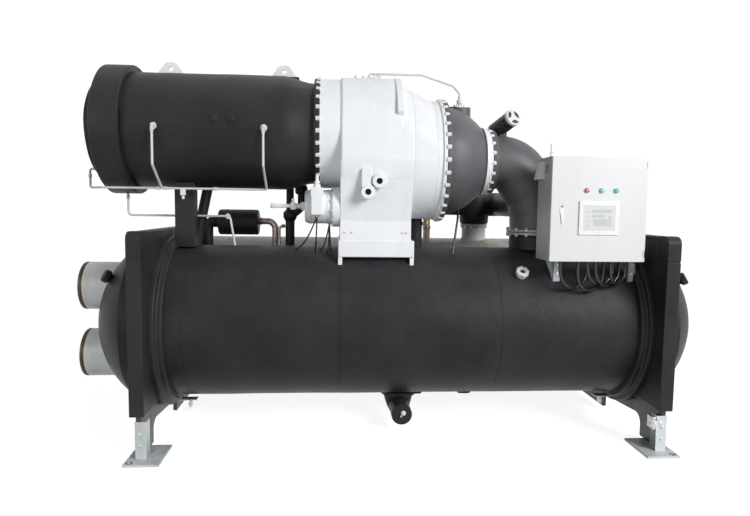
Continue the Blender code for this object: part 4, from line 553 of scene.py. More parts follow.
for side, word in ((-1, "left"), (1, "right")):
    inner, outer = sorted((side * (SHEET_INNER + 0.0005), side * (SHEET_OUTER - 0.0005)))
    corner = eased([(SHEET_FRONT, STRIP_BOTTOM), (SHEET_FRONT, SHEET_TOP), (SHEET_BACK, SHEET_TOP)], 0.055,
                   8)
    back_corner = SHEET_BACK - 0.0015
    body = corner[:-1] + [(back_corner, SHEET_TOP), (back_corner, FOAM_BOTTOM), (SHEET_FRONT, FOAM_BOTTOM)]
    wrap = prism(body, inner, outer, "X", 0.010)
    piece(f"end_plate_foam_{word}", wrap, foam, f"evaporator_end_plate_{word}")
    cap = [(y + (0.0025 if y > SHEET_FRONT + 0.05 else 0), z) for y, z in corner[:-1]]
    cap += [(SHEET_FRONT + 0.115, SHEET_TOP), (SHEET_FRONT + 0.115, SHEET_TOP - 0.012),
            (SHEET_FRONT + 0.012, STRIP_BOTTOM + 0.05), (SHEET_FRONT + 0.012, STRIP_BOTTOM)]
    shifted = [(y - 0.0028, z + 0.0028) for y, z in cap]
    piece(f"end_plate_cap_{word}", prism(shifted, inner - 0.0006, outer + 0.0006, "X", 0.004), foam)
    strip = slab((inner - 0.0006, SHEET_FRONT - 0.0028, FOAM_BOTTOM + 0.001),
                 (outer + 0.0006, SHEET_FRONT + 0.010, STRIP_BOTTOM - 0.004), 0.004)
    piece(f"end_plate_strip_{word}", strip, foam)
    low, high = side * LEG_CENTRE - LEG_STEEL / 2, side * LEG_CENTRE + LEG_STEEL / 2
    foot = FOOT_THICK + 0.001
    arch = eased([(-0.430, foot), (-0.430, 0.1790), (0.180, 0.135), (0.180, 0.030)], 0.085, 8)
    steel = [(SHEET_FRONT + 0.020, foot)] + arch
    steel += [(0.648, 0.030), (0.648, FOAM_BOTTOM + 0.05), (SHEET_FRONT + 0.020, FOAM_BOTTOM + 0.05)]
    piece(f"end_plate_steel_{word}", prism(steel, low, high, "X", 0.0022), black_paint)


# Evaporator heads: dished steel ends wrapped in foam, with a thicker roll over the bolted flange, a foam
# disc over each vent plug, and on the left the two stub pipes for chilled water: painted steel tube,
# grooved near its end for a clamp and left bare and oiled beyond the groove.
HEAD_FLANGE_RADIUS = 0.602
HEAD_FLANGE = 0.042
HEAD_RADIUS = 0.572
HEAD_STRAIGHT = 0.078
HEAD_DISH = 0.290
NOZZLE_RADIUS = 0.178
NOZZLE_BORE = 0.168
NOZZLE_REACH = 2.365
NOZZLE_HEIGHTS = (("lower", 0.5595), ("upper", 1.0685))
PLUG_FORWARD = 0.300
PLUG_RISE = 0.342


def on_circle(radius, offset):
    return sqrt(radius ** 2 - offset ** 2)


def ball_radius(radius, dish):
    return (radius ** 2 + dish ** 2) / (2 * dish)


def dished(flange_radius, flange, radius, straight, dish):
    """Half outline of a flanged head with a shallow ball end."""
    ball = ball_radius(radius, dish)
    centre = flange + straight + dish - ball
    outline = [(0, flange_radius), (flange, flange_radius), (flange + 0.002, radius)]
    for i in range(24):
        offset = radius * (1 - i / 24)
        outline.append((centre + on_circle(ball, offset), offset))
    return outline + [(flange + straight + dish, 0)]


def carve(target, bm, name):
    """Cuts the shape of one mesh out of a piece."""
    mesh = bpy.data.meshes.new(name)
    bmesh.ops.recalc_face_normals(bm, faces=bm.faces)
    bm.to_mesh(mesh)
    bm.free()
    knife = bpy.data.objects.new(name, mesh)
    knife.location = ORIGIN
    knife.hide_render = True
    bpy.context.scene.collection.objects.link(knife)
    cut = target.modifiers.new(name, "BOOLEAN")
    cut.operation = "DIFFERENCE"
    cut.solver = "EXACT"
    cut.use_self = True
    cut.object = knife
    target.modifiers.move(len(target.modifiers) - 1, 0)


nozzle_paint = sprayed("nozzle_paint", (0.80, 0.845, 0.83), (0.32, 0.30, 0.26), 0.3)
oiled_band = grained("oiled_pipe_end", (0.040, 0.032, 0.018), (0.105, 0.085, 0.048), (26, 5.0), (40, 4.0),
                     (0.28, 0.55), (300, 3.0), 0.0006, metallic=0.7)
dark_steel = grained("wet_tube_sheet", (0.030, 0.028, 0.026), (0.085, 0.066, 0.048), (18, 5.0), (55, 4.0),
                     (0.3, 0.6), (190, 4.0), 0.0008, metallic=0.6)

for side, word in ((-1, "left"), (1, "right")):
    start = Vector((side * (SHEET_OUTER + 0.0005), 0, EVAP_AXIS.z))
    outline = dished(HEAD_FLANGE_RADIUS, HEAD_FLANGE, HEAD_RADIUS, HEAD_STRAIGHT, HEAD_DISH)
    head = wavy(turned([(0.0, 0.0)] + eased(outline, 0.012, 4), start, X_AXIS * side, 128), 0.0015)
    head = piece(f"evaporator_head_foam_{word}", head, foam, f"evaporator_head_{word}")
    ball = ball_radius(HEAD_RADIUS, HEAD_DISH)
    out = Vector((side * on_circle(ball, sqrt(PLUG_FORWARD ** 2 + PLUG_RISE ** 2)), -PLUG_FORWARD,
                  PLUG_RISE))
    centre = EVAP_AXIS + X_AXIS * side * (SHEET_OUTER + HEAD_FLANGE + HEAD_STRAIGHT + HEAD_DISH - ball)
    outline = eased([(-0.015, 0.030), (0.014, 0.030), (0.018, 0.047), (0.062, 0.047), (0.062, 0.0)], 0.014,
                    4)
    piece(f"vent_plug_foam_{word}", turned(outline, centre + out, out, 48), foam)
    if side > 0:
        continue
    for level, height in NOZZLE_HEIGHTS:
        foot = Vector((-SHEET_OUTER - HEAD_FLANGE, 0, height))
        length = NOZZLE_REACH + foot.x
        groove = length - 0.030
        painted = [(0.02, NOZZLE_RADIUS), (groove, NOZZLE_RADIUS), (groove, NOZZLE_BORE),
                   (0.02, NOZZLE_BORE)]
        pipe = turned(painted, foot, -X_AXIS, 96, closed=True)
        piece(f"chilled_water_pipe_{level}", pipe, nozzle_paint,
              f"chilled_water_nozzle_{level}")
        tip = [(groove - 0.002, NOZZLE_BORE), (length - 0.0005, NOZZLE_BORE),
               (length - 0.0005, NOZZLE_RADIUS), (length - 0.016, NOZZLE_RADIUS),
               (length - 0.016, NOZZLE_RADIUS - 0.004),
               (groove, NOZZLE_RADIUS - 0.004)]
        piece(f"chilled_water_pipe_end_{level}", turned(tip, foot, -X_AXIS, 96, closed=True), oiled_band)
        bore = turned([(-0.03, NOZZLE_BORE + 0.002), (length, NOZZLE_BORE + 0.002)], foot, -X_AXIS, 96)
        carve(head, bore, f"head_bore_{level}")
    back = turned([(0.001, HEAD_RADIUS - 0.03), (0.006, HEAD_RADIUS - 0.03)], start, X_AXIS * side, 96)
    piece("evaporator_tube_sheet", back, dark_steel)
    rims = []
    for row in range(-11, 12):
        for column in range(-11, 12):
            y, z = (column + (row % 2) / 2) * 0.042, row * 0.0364
            if any(sqrt(y * y + (z + EVAP_HEIGHT - level) ** 2) < NOZZLE_BORE
                   for _, level in NOZZLE_HEIGHTS):
                rims.append(turned([(0.005, 0.0095), (0.010, 0.0095), (0.010, 0.0078), (0.005, 0.0078)],
                                   start + Vector((0, y, z)), X_AXIS * side, 14, closed=True))
    piece("evaporator_tube_ends", joined(rims), oiled_band)


# Feet: a base plate with a bolt hole and a length of angle bolted to each leg, welded up from steel and
# painted light grey, with a spring washer and nut on each bolt and a trace of rust round the bare hole.
LEG_BACK = 1.640
FEET = (("front_left", -1, -1), ("front_right", 1, -1), ("rear_left", -1, 1), ("rear_right", 1, 1))
HOLE_EDGE = 0.035


def swept(path, radius, sides=24):
    """A round bar or pipe along a path, with one radius or one for each of its points."""
    bm = bmesh.new()
    path = [Vector(point) for point in path]
    radii = radius if isinstance(radius, list) else [radius] * len(path)
    sideways = (path[1] - path[0]).orthogonal().normalized()
    rings = []
    for i, point in enumerate(path):
        on = (path[min(i + 1, len(path) - 1)] - path[max(i - 1, 0)]).normalized()
        sideways = (sideways - on * sideways.dot(on)).normalized()
        upright = on.cross(sideways)
        turns = [2 * pi * k / sides for k in range(sides)]
        rings.append([bm.verts.new(point + (sideways * cos(t) + upright * sin(t)) * radii[i])
                      for t in turns])
    for near, far in zip(rings, rings[1:]):
        for k in range(sides):
            bm.faces.new((near[k - 1], near[k], far[k], far[k - 1]))
    bm.faces.new(rings[0])
    bm.faces.new(rings[-1])
    return bm


def hexagon_heads(places, axis, across, height=None):
    """Hexagon bolt heads, each on a washer, standing on a face at each of the places."""
    height = height or across * 0.62
    meshes = []
    for place in places:
        meshes.append(turned([(-0.004, across * 0.98 / 2 * 1.25), (0.0025, across * 0.98 / 2 * 1.25)], place,
                             axis, 18))
        meshes.append(turned([(0.002, across / sqrt(3)), (height * 0.86, across / sqrt(3)),
                              (height, across * 0.46)], place, axis, 6))
    return joined(meshes)


def round_places(centre, axis, radius, count, first=0.0):
    """Evenly spaced places round a circle."""
    tilt = Vector(axis).to_track_quat("Z", "Y")
    turns = [first + 2 * pi * i / count for i in range(count)]
    return [Vector(centre) + tilt @ Vector((radius * cos(t), radius * sin(t), 0)) for t in turns]


def metal(name, pale, dull, low, high, relief=0.0006):
    """A bare or plated metal: two tones in blotches, a roughness that follows them and a fine grain."""
    made, tree, shader = new_material(name, 0.4, 0.85)
    mottle = span(tree, lumps(tree, 34, 5.0), 0.0, 1.0, 0.34, 0.66)
    tree.links.new(blend(tree, mottle, dull, pale), shader.inputs["Base Color"])
    tree.links.new(span(tree, mottle, high, low), shader.inputs["Roughness"])
    bump(tree, shader, lumps(tree, 280, 4.0), relief)
    return made


foot_paint = sprayed("foot_paint", (0.63, 0.69, 0.71), (0.28, 0.27, 0.25), 0.4)
zinc = metal("zinc_plated_steel", (0.66, 0.67, 0.66), (0.42, 0.42, 0.40), 0.26, 0.50)
rust = metal("rusty_hole_edge", (0.30, 0.10, 0.05), (0.12, 0.045, 0.025), 0.6, 0.85)

for word, side, end in FEET:
    centre = side * 1.740
    edge = SHEET_FRONT - 0.080 if end < 0 else LEG_BACK + 0.080
    low_y, high_y = sorted((edge, edge - end * 0.330))
    plate = slab((centre - 0.115, low_y, 0.0), (centre + 0.115, high_y, FOOT_THICK), 0.0018)
    hole = Vector((centre + side * (0.115 - HOLE_EDGE), edge - end * HOLE_EDGE, -0.01))
    leg_face = (SHEET_FRONT + 0.020 if end < 0 else LEG_BACK) + end * 0.0003
    inner = side * (LEG_CENTRE - LEG_STEEL / 2 - 0.040)
    across = sorted((inner, inner + side * 0.075))
    flat = sorted((leg_face, leg_face + end * 0.008))
    web = sorted((leg_face + end * 0.008, leg_face - end * 0.067))
    angle = [slab((across[0], flat[0], FOOT_THICK - 0.002), (across[1], flat[1], 0.265), 0.0015)]
    web_x = sorted((inner, inner + side * 0.008))
    angle.append(slab((web_x[0], web[0], FOOT_THICK - 0.002), (web_x[1], web[1], 0.265), 0.0015))
    toe = leg_face + end * 0.008
    angle.append(swept([(across[0] + 0.002, toe, FOOT_THICK), (across[1] - 0.002, toe, FOOT_THICK)], 0.005,
                       10))
    foot = piece(f"foot_{word}", joined([plate] + angle), foot_paint, f"foot_{word}", smooth=35)
    carve(foot, turned([(0, 0.013), (0.05, 0.013)], hole, Z_AXIS, 32), f"foot_hole_{word}")
    ring = turned([(0.0262, 0.0215), (0.0264, 0.0195), (0.0264, 0.0130), (0.0262, 0.0130)], hole, Z_AXIS, 32,
                  closed=True)
    piece(f"foot_hole_rust_{word}", ring, rust)
    face = leg_face + end * 0.008
    spots = [(side * (LEG_CENTRE - 0.012), face, z) for z in (0.105, 0.185)]
    piece(f"foot_bolts_{word}", hexagon_heads(spots, Y_AXIS * end, 0.016, 0.007), zinc)


# Motor: a round steel housing lagged with foam sheet that closes on a lengthwise butt joint, necked in
# towards the compressor, with a thick foam band and disc over its end cover and a bolted flange ring.
MOTOR_AXIS_Z = 2.224
MOTOR_RADIUS = 0.418
MOTOR_LEFT = -1.955
MOTOR_RIGHT = -0.660
TAPER_START = -0.900
NECK_RADIUS = 0.370
MOTOR_FLANGE_RADIUS = 0.407
BAND_RADIUS = 0.464
BAND_LEFT = -2.148
CAP_RADIUS = 0.350
CAP_LEFT = -2.222
CASING_LEFT = -0.620
MOTOR_CENTRE = Vector((0, 0, MOTOR_AXIS_Z))
LUG_PLACES = (-1.720, -0.890)


def on_motor(x, angle, grow=0.0):
    """A place on the motor's skin, at an angle above the level line on its front."""
    reach = MOTOR_RADIUS + grow
    return Vector((x, -reach * cos(radians(angle)), MOTOR_AXIS_Z + reach * sin(radians(angle))))


barrel = [(MOTOR_LEFT + 0.002, MOTOR_RADIUS)]
for i in range(17):
    share = i / 16
    barrel.append((TAPER_START + (MOTOR_RIGHT - TAPER_START) * share,
                   MOTOR_RADIUS - (MOTOR_RADIUS - NECK_RADIUS) * (1 - cos(pi * share)) / 2))
rim = eased([(MOTOR_RIGHT, NECK_RADIUS), (MOTOR_RIGHT, MOTOR_FLANGE_RADIUS),
             (CASING_LEFT - 0.0006, MOTOR_FLANGE_RADIUS), (CASING_LEFT - 0.0006, 0)], 0.008)
wrap = wavy(turned(sliced(barrel + rim, 0.05), MOTOR_CENTRE, X_AXIS, 128), 0.0026, 4.0)
piece("motor_foam", wrap, foam, "motor_shell")
seam = [on_motor(MOTOR_LEFT + 0.01 + 0.1 * i, -1.2 - 0.35 * i, -0.0008) for i in range(11)]
joint = [swept(seam, 0.0026, 8)]
for x in (-1.339, -1.219):
    joint.append(turned(eased([(-0.02, 0.036), (0.005, 0.032), (0.013, 0)], 0.016, 4), on_motor(x, 6.5),
                        on_motor(x, 6.5) - Vector((x, 0, MOTOR_AXIS_Z)), 24))
piece("motor_foam_joint", joined(joint), foam)
cover = [(CAP_LEFT, 0), (CAP_LEFT, CAP_RADIUS), (BAND_LEFT, CAP_RADIUS), (BAND_LEFT, BAND_RADIUS),
         (MOTOR_LEFT - 0.026, BAND_RADIUS), (MOTOR_LEFT - 0.024, BAND_RADIUS - 0.003),
         (MOTOR_LEFT - 0.022, BAND_RADIUS), (MOTOR_LEFT, BAND_RADIUS), (MOTOR_LEFT, 0)]
wrap = wavy(turned(sliced(eased(cover, 0.010), 0.07), MOTOR_CENTRE, X_AXIS, 128), 0.0028, 5.0)
piece("motor_end_foam", wrap, foam, "motor_end_cover")

bare_grey = sprayed("primer_grey_steel", (0.40, 0.38, 0.35), (0.20, 0.17, 0.14), 0.55, roughness=0.45)
for word, x in zip(("rear", "front"), LUG_PLACES):
    surface = 0.0 if x < TAPER_START else 0.002
    outline = eased([(x - 0.104, 2.632 - surface), (x - 0.034, 2.726), (x + 0.034, 2.726),
                     (x + 0.104, 2.632 - surface), (x + 0.070, 2.610), (x - 0.070, 2.610)], 0.040, 6)
    lug = piece(f"lifting_eye_{word}", prism(outline, -0.011, 0.011, "Y", 0.002), nozzle_paint,
                f"lifting_lug_{word}")
    eye = Vector((x, -0.05, 2.678))
    carve(lug, turned([(0, 0.017), (0.1, 0.017)], eye, Y_AXIS, 32), f"lug_hole_{word}")
    cuff = slab((x - 0.112, -0.026, 2.612), (x + 0.112, 0.026, 2.645 - surface), 0.010)
    piece(f"lifting_eye_foam_{word}", cuff, foam)
post = slab((-1.668, -0.165, 1.372), (-1.523, -0.070, 1.862), 0.008)
piece("motor_post", wavy(post, 0.001), foam, "motor_support_post")


# Gear casing and volute: one iron casting each, filled, sprayed cool white and bolted flange to flange.
# The gear casing holds both shafts in one flat-sided hull, with a lifting rib over its top, an inspection
# pad and two oil bosses in front; the volute runs on from it to a bolted ring.
CASING_FACE = -0.470
CASING_RIGHT = 0.045
VOLUTE_Z = 2.040
VOLUTE_RADIUS = 0.445
VOLUTE_RIGHT = 0.275
SLOPE_END = 0.195
SLOPE_SHARE = 0.72
RIB_RIGHT = -0.030
RIB_THICK = 0.048
RIB_RADIUS = 0.4562
TOP_RADIUS = 0.418
BOSSES = ((-0.278, 1.786), (-0.200, 1.862))
BOSS_FRONT = -0.470


def hull(x, share, inset=0.0, sides=128):
    """A ring round both shafts at share 1, and round the volute alone at 0."""
    top_z = VOLUTE_Z + (MOTOR_AXIS_Z - VOLUTE_Z) * share
    top_radius = VOLUTE_RADIUS + (TOP_RADIUS - VOLUTE_RADIUS) * share
    ring = []
    for i in range(sides):
        t = 2 * pi * (i + 0.5) / sides
        middle, radius = (top_z, top_radius) if sin(t) > 0 else (VOLUTE_Z, VOLUTE_RADIUS)
        ring.append(Vector((x, (radius - inset) * cos(t), middle + (radius - inset) * sin(t))))
    return ring


def lofted(rings):
    """A skin over rings of equally many points, closed at both ends."""
    bm = bmesh.new()
    rows = [[bm.verts.new(point) for point in ring] for ring in rings]
    for near, far in zip(rows, rows[1:]):
        for i in range(len(near)):
            bm.faces.new((near[i - 1], near[i], far[i], far[i - 1]))
    bm.faces.new(rows[0])
    bm.faces.new(rows[-1])
    return bm


def slope_share(x):
    return max(0.0, SLOPE_SHARE * (SLOPE_END - x) / (SLOPE_END - RIB_RIGHT))


casing_paint = sprayed("casing_paint", (0.84, 0.86, 0.885), (0.50, 0.50, 0.49), 0.15, roughness=0.36,
                       relief=0.0010)

face_ease = [hull(CASING_FACE + 0.018 * (1 - cos(pi / 2 * i / 5)), 1, 0.018 * (1 - sin(pi / 2 * i / 5)))
             for i in range(6)]
rib_middle = RIB_RIGHT - RIB_THICK / 2
upper = [hull(rib_middle, 1), hull(rib_middle + 0.006, SLOPE_SHARE), hull(RIB_RIGHT, SLOPE_SHARE),
         hull(CASING_RIGHT - 0.004, slope_share(CASING_RIGHT)), hull(CASING_RIGHT, slope_share(CASING_RIGHT),
                                                                    0.0025)]
housing = [lofted(face_ease + upper)]
collar = eased([(CASING_LEFT, 0), (CASING_LEFT, 0.403), (CASING_FACE + 0.03, 0.403)], 0.008)
housing.append(turned(collar, MOTOR_CENTRE, X_AXIS, 128))
rib_centre = Vector((0, 0, MOTOR_AXIS_Z - 0.035))
rib_outline = [(RIB_RADIUS * cos(radians(a)), rib_centre.z + RIB_RADIUS * sin(radians(a)))
               for a in range(20, 161, 5)]
rib_outline += [(-0.38, rib_centre.z + 0.10), (0.38, rib_centre.z + 0.10)]
housing.append(prism(rib_outline, RIB_RIGHT - RIB_THICK, RIB_RIGHT, "X", 0.006))
for x, z in BOSSES:
    boss = eased([(0.0, 0.0212), (0.0, 0.050), (0.06, 0.050)], 0.006)
    housing.append(turned([(0.06, 0.0212)] + boss, (x, BOSS_FRONT, z), Y_AXIS, 48))
pad = eased([(-0.29, 1.812), (-0.323, 1.812), (-0.323, 1.951), (-0.257, 1.951), (-0.257, 1.812),
             (-0.28, 1.812)], 0.010)
housing.append(prism(pad, -0.4555, -0.38, "Y", 0.004))
piece("gear_casing_casting", joined(housing), casing_paint, "gear_casing")
blued_steel = metal("blued_plug", (0.030, 0.036, 0.060), (0.012, 0.014, 0.022), 0.30, 0.5)
plugs = [turned(eased([(0.016, 0), (0.016, 0.0085), (0.022, 0.0085), (0.022, 0.021)], 0.002),
                (x, BOSS_FRONT, z), Y_AXIS, 24) for x, z in BOSSES]
piece("oil_boss_plugs", joined(plugs), blued_steel)

rings = [hull(CASING_RIGHT + 0.0006, slope_share(CASING_RIGHT), 0.0025)]
rings += [hull(x, slope_share(x)) for x in (CASING_RIGHT + 0.004, 0.10, 0.15, SLOPE_END, 0.205)]
rings += [hull(0.2062, 0, 0.002), hull(0.2078, 0, 0.002), hull(0.2090, 0), hull(0.2550, 0)]
scroll = [lofted(rings)]
outline = eased([(0.250, 0.440), (0.250, 0.456), (VOLUTE_RIGHT - 0.0005, 0.456), (VOLUTE_RIGHT - 0.0005, 0)],
                0.004)
scroll.append(turned([(0.250, 0)] + outline, (0, 0, VOLUTE_Z), X_AXIS, 128))
piece("volute_casting", joined(scroll), casing_paint, "compressor_volute")
bolt_paint = sprayed("painted_bolts", (0.80, 0.82, 0.83), (0.42, 0.41, 0.39), 0.25, roughness=0.34,
                     relief=0.0008)
bolts = hexagon_heads(round_places((VOLUTE_RIGHT - 0.001, 0, VOLUTE_Z), X_AXIS, 0.4500, 32, 0.05), X_AXIS,
                      0.030, 0.027)
piece("volute_flange_bolts", bolts, bolt_paint)
bolts = hexagon_heads(round_places((CASING_LEFT + 0.001, 0, MOTOR_AXIS_Z), X_AXIS, 0.4010, 30, 0.05),
                      -X_AXIS, 0.029, 0.026)
piece("motor_flange_bolts", bolts, bolt_paint)
small_fittings = []
for x, y in ((-0.352, -0.05), (-0.292, 0.03), (-0.215, -0.03)):
    seat = Vector((x, y, MOTOR_AXIS_Z + on_circle(TOP_RADIUS, y) - 0.003))
    small_fittings.append(turned(eased([(0, 0.016), (0.012, 0.016), (0.012, 0.009), (0.030, 0.009),
                                        (0.030, 0)], 0.002), seat, Z_AXIS, 20))
    small_fittings.append(turned([(0.004, 0.019), (0.014, 0.019)], seat, Z_AXIS, 6))
piece("casing_top_fittings", joined(small_fittings), bolt_paint)


# Pedestal: a welded white box that carries on the casing's flanks, stands on a wider block with two rows
# of stud heads and straddles the evaporator on two saddle plates cut to the shell.
PEDESTAL_STEP = 1.443
PEDESTAL_BOTTOM = 1.323
PEDESTAL_FRONT = 0.350
flank = [(-0.345, 1.434), (-0.335, 1.584), (-0.409, 1.860), (-0.4435, 2.000), (-0.405, 2.050)]
neck = flank + [(-y, z) for y, z in flank[::-1]]
pedestal = [prism(eased(neck, 0.05, 5), CASING_FACE + 0.001, 0.040, "X", 0.003)]
pedestal.append(slab((-0.482, -PEDESTAL_FRONT, PEDESTAL_BOTTOM), (0.064, PEDESTAL_FRONT, PEDESTAL_STEP),
                     0.007))
saddle = [(-0.340, 1.345)]
for i in range(25):
    y = -0.340 + 0.680 * i / 24
    saddle.append((y, EVAP_HEIGHT + on_circle(SADDLE_RADIUS, y)))
saddle.append((0.340, 1.345))
for left in (-0.482, 0.034):
    pedestal.append(prism(saddle, left, left + 0.030, "X", 0.002))
piece("pedestal_weldment", joined(pedestal), casing_paint, "compressor_pedestal")
studs = [Vector((x, -0.3452, 1.4995)) for x in (-0.436, -0.385, -0.02, 0.006)]
studs = [turned(eased([(-0.002, 0.0065), (0.004, 0.0065), (0.004, 0)], 0.002), spot, -Y_AXIS, 16)
         for spot in studs]
piece("pedestal_studs", joined(studs), zinc)


# Oil pump: a white canned motor pump on a studded flange, with a terminal box in front, its cable gland on
# top, thin black leads below, and a service valve of hexagon and round steps on the far end.
PUMP_Y = -0.215
PUMP_Z = 1.680
PUMP_LEFT = -0.722
TERMINAL_X = -0.633
flange = eased([(0.001, 0), (0.001, 0.145), (0.055, 0.145), (0.055, 0.122), (0.230, 0.122), (0.252, 0.112),
                (0.252, 0)], 0.006)
pump = [turned(flange, (CASING_FACE, PUMP_Y, PUMP_Z), -X_AXIS, 64)]
for start in (0.080, 0.205):
    band = eased([(start, 0.118), (start, 0.125), (start + 0.012, 0.125), (start + 0.012, 0.118)], 0.002)
    pump.append(turned(band, (CASING_FACE, PUMP_Y, PUMP_Z), -X_AXIS, 64))
pump.append(slab((TERMINAL_X - 0.041, -0.397, 1.622), (TERMINAL_X + 0.041, -0.290, 1.812), 0.007))
pump.append(slab((TERMINAL_X - 0.044, -0.3985, 1.758), (TERMINAL_X + 0.044, -0.286, 1.814), 0.004))
gland = eased([(0, 0), (0, 0.026), (0.022, 0.026), (0.034, 0.015), (0.092, 0.009), (0.092, 0)], 0.003)
pump.append(turned(gland, (TERMINAL_X, -0.367, 1.808), Z_AXIS, 24))
pump.append(turned([(0.036, 0.021), (0.048, 0.021)], (TERMINAL_X, -0.367, 1.808), Z_AXIS, 6))
piece("oil_pump_body", joined(pump), casing_paint, "oil_pump")
steps = ((0.000, 0.034, 6), (0.030, 0.018, 24), (0.070, 0.030, 6), (0.105, 0.014, 24), (0.203, 0.022, 6),
         (0.240, 0.017, 24), (0.252, 0.017, 24))
valve = []
for (start, radius, sides), (end, _, _) in zip(steps, steps[1:]):
    valve.append(turned(eased([(start - 0.004, 0), (start, radius), (end, radius), (end, 0)], 0.002),
                        (PUMP_LEFT, PUMP_Y, 1.683), -X_AXIS, sides))
valve.append(turned(peg(0, 0.055, 0.010, 0.003),
                    (PUMP_LEFT - 0.088, PUMP_Y, 1.683), Z_AXIS, 20))
piece("pump_service_valve", joined(valve), bolt_paint)
bolts = hexagon_heads(round_places((CASING_FACE - 0.055, PUMP_Y, PUMP_Z), X_AXIS, 0.133, 12, 0.2), -X_AXIS,
                      0.017, 0.011)
piece("pump_flange_bolts", bolts, zinc)
brass = metal("brass_fittings", (0.66, 0.47, 0.16), (0.42, 0.28, 0.08), 0.22, 0.42)
nut = peg(0, 0.018, 0.015, 0.003)
piece("terminal_lead_gland", turned(nut, (TERMINAL_X, -0.345, 1.624), -Z_AXIS, 6), brass)
leads = []
box_foot = Vector((TERMINAL_X, -0.345, 1.612))
pump_foot = Vector((-0.545, -0.230, 1.562))
for top, x, y in ((box_foot, -0.800, -0.15), (box_foot, -0.650, -0.20), (pump_foot, -0.615, -0.14),
                  (pump_foot, -0.560, -0.20), (pump_foot, -0.535, -0.16)):
    foot = Vector((x, y, EVAP_HEIGHT + on_circle(EVAP_RADIUS, y)))
    leads.append(swept([top.lerp(foot, i / 10) + Vector((0, 0, -0.05 * sin(pi * i / 10)))
                        for i in range(11)],
                       0.0055, 12))
piece("terminal_leads", joined(leads), cable_sheath)


# Suction side: the black-lagged suction cover with its bolted ring and an open foam cuff round the
# pressure connection, the white guide-vane ring, and the lagged elbow with its flanges.
COVER_RIGHT = 0.605
VANE_LEFT = 0.6055
VANE_THICK = 0.048
ELBOW_X = 1.085
ELBOW_START = 0.654
COLLAR = Vector((0.440, 0, 2.471))
outline = [(VOLUTE_RIGHT + 0.001, 0), (VOLUTE_RIGHT + 0.001, 0.458), (VOLUTE_RIGHT + 0.036, 0.458),
           (VOLUTE_RIGHT + 0.037, 0.405)]
outline = eased(outline + [(VOLUTE_RIGHT + 0.039, 0.405)], 0.007)
for i in range(1, 29):
    share = i / 28
    outline.append((VOLUTE_RIGHT + 0.039 + (COVER_RIGHT - VOLUTE_RIGHT - 0.039) * share,
                    0.245 + (0.405 - 0.245) * (1 - share ** 2)))
outline.append((COVER_RIGHT, 0))
bell = wavy(turned(outline, (0, 0, VOLUTE_Z), X_AXIS, 128), 0.0022, 5.0)
cuff = eased([(-0.20, 0.085), (0.0, 0.085), (0.0, 0.066), (-0.055, 0.066)], 0.004)
cuff = turned(cuff + [(-0.055, 0.0)], COLLAR, Z_AXIS, 64)
for vertex in cuff.verts:
    if vertex.co.z > COLLAR.z - 0.030:
        vertex.co.z -= 0.016 * (1 - vertex.co.y / 0.085)
# The cover's foam is the paler copy, its lighter tone painted light.
piece("suction_cover_foam", joined([bell, wavy(cuff, 0.0025, 9.0)]), sheen_painted_foam, "suction_cover")
taps = [turned(eased([(-0.055, 0.026), (-0.018, 0.026), (-0.018, 0.013), (0.012, 0.013), (0.012, 0)], 0.003),
               COLLAR, Z_AXIS, 24), turned([(-0.022, 0.022), (-0.004, 0.022)], COLLAR, Z_AXIS, 6)]
for turn in (0.6, 2.4, 4.1):
    spot = COLLAR + Vector((0.046 * cos(turn), 0.046 * sin(turn), -0.056))
    taps.append(turned([(0, 0.010), (0.040, 0.010), (0.040, 0)], spot, Z_AXIS, 6))
    taps.append(turned(eased([(0.038, 0.007), (0.058, 0.007), (0.058, 0)], 0.002), spot, Z_AXIS, 16))
piece("cuff_fittings", joined(taps), bolt_paint)

ring = eased([(0.0, 0), (0.0, 0.262), (VANE_THICK * 0.35, 0.256), (VANE_THICK - 0.001, 0.248),
              (VANE_THICK - 0.001, 0)], 0.004)
piece("vane_ring_casting", turned(ring, (VANE_LEFT, 0, VOLUTE_Z), X_AXIS, 96), casing_paint,
      "guide_vane_ring")
bolts = hexagon_heads(round_places((ELBOW_START - 0.003, 0, VOLUTE_Z), X_AXIS, 0.2390, 20, 0.1), X_AXIS,
                      0.027, 0.024)
piece("elbow_flange_bolts", bolts, bolt_paint)

path = eased([(ELBOW_START, 0, VOLUTE_Z), (0.865, 0, VOLUTE_Z - 0.005), (1.040, 0, 1.795),
              (ELBOW_X - 0.005, 0, 1.640), (ELBOW_X, 0, 1.506)], 0.24, 8)
radii = [0.204 + 0.012 * i / (len(path) - 1) for i in range(len(path))]
elbow = [wavy(swept(path, radii, 80), 0.0022, 5.0)]
outline = eased([(0, 0), (0, 0.246), (0.045, 0.246), (0.045, 0.200)], 0.008)
elbow.append(turned(outline, (ELBOW_START, 0, VOLUTE_Z), X_AXIS, 96))
grooved = eased([(0, 0), (0, 0.226), (0.034, 0.226), (0.036, 0.214)], 0.007)
elbow.append(turned(grooved, (ELBOW_X, 0, 1.506), Z_AXIS, 96))
# The elbow's foam is the paler copy, its lighter tone painted light.
piece("suction_elbow_foam", joined(elbow), sheen_painted_foam, "suction_elbow")
outline = eased([(1.372, 0.216), (1.4705, 0.216), (1.4705, 0.226), (1.498, 0.226), (1.498, 0)], 0.006)
stub = wavy(turned([(1.372, 0)] + outline, (ELBOW_X, 0, 0), Z_AXIS, 96), 0.002)
piece("suction_stub_foam", stub, foam, "suction_stub")
flanges = [turned(peg(z, z + 0.018, 0.240, 0.003),
                  (ELBOW_X, 0, 0), Z_AXIS, 96) for z in (1.484, 1.506)]
piece("elbow_foot_flanges", joined(flanges), bare_grey)
upper = hexagon_heads(round_places((ELBOW_X, 0, 1.522), Z_AXIS, 0.2290, 16, 0.1), Z_AXIS, 0.022, 0.016)
lower = hexagon_heads(round_places((ELBOW_X, 0, 1.486), Z_AXIS, 0.2290, 16, 0.1), -Z_AXIS, 0.022, 0.016)
piece("elbow_foot_bolts", joined([upper, lower]), zinc)


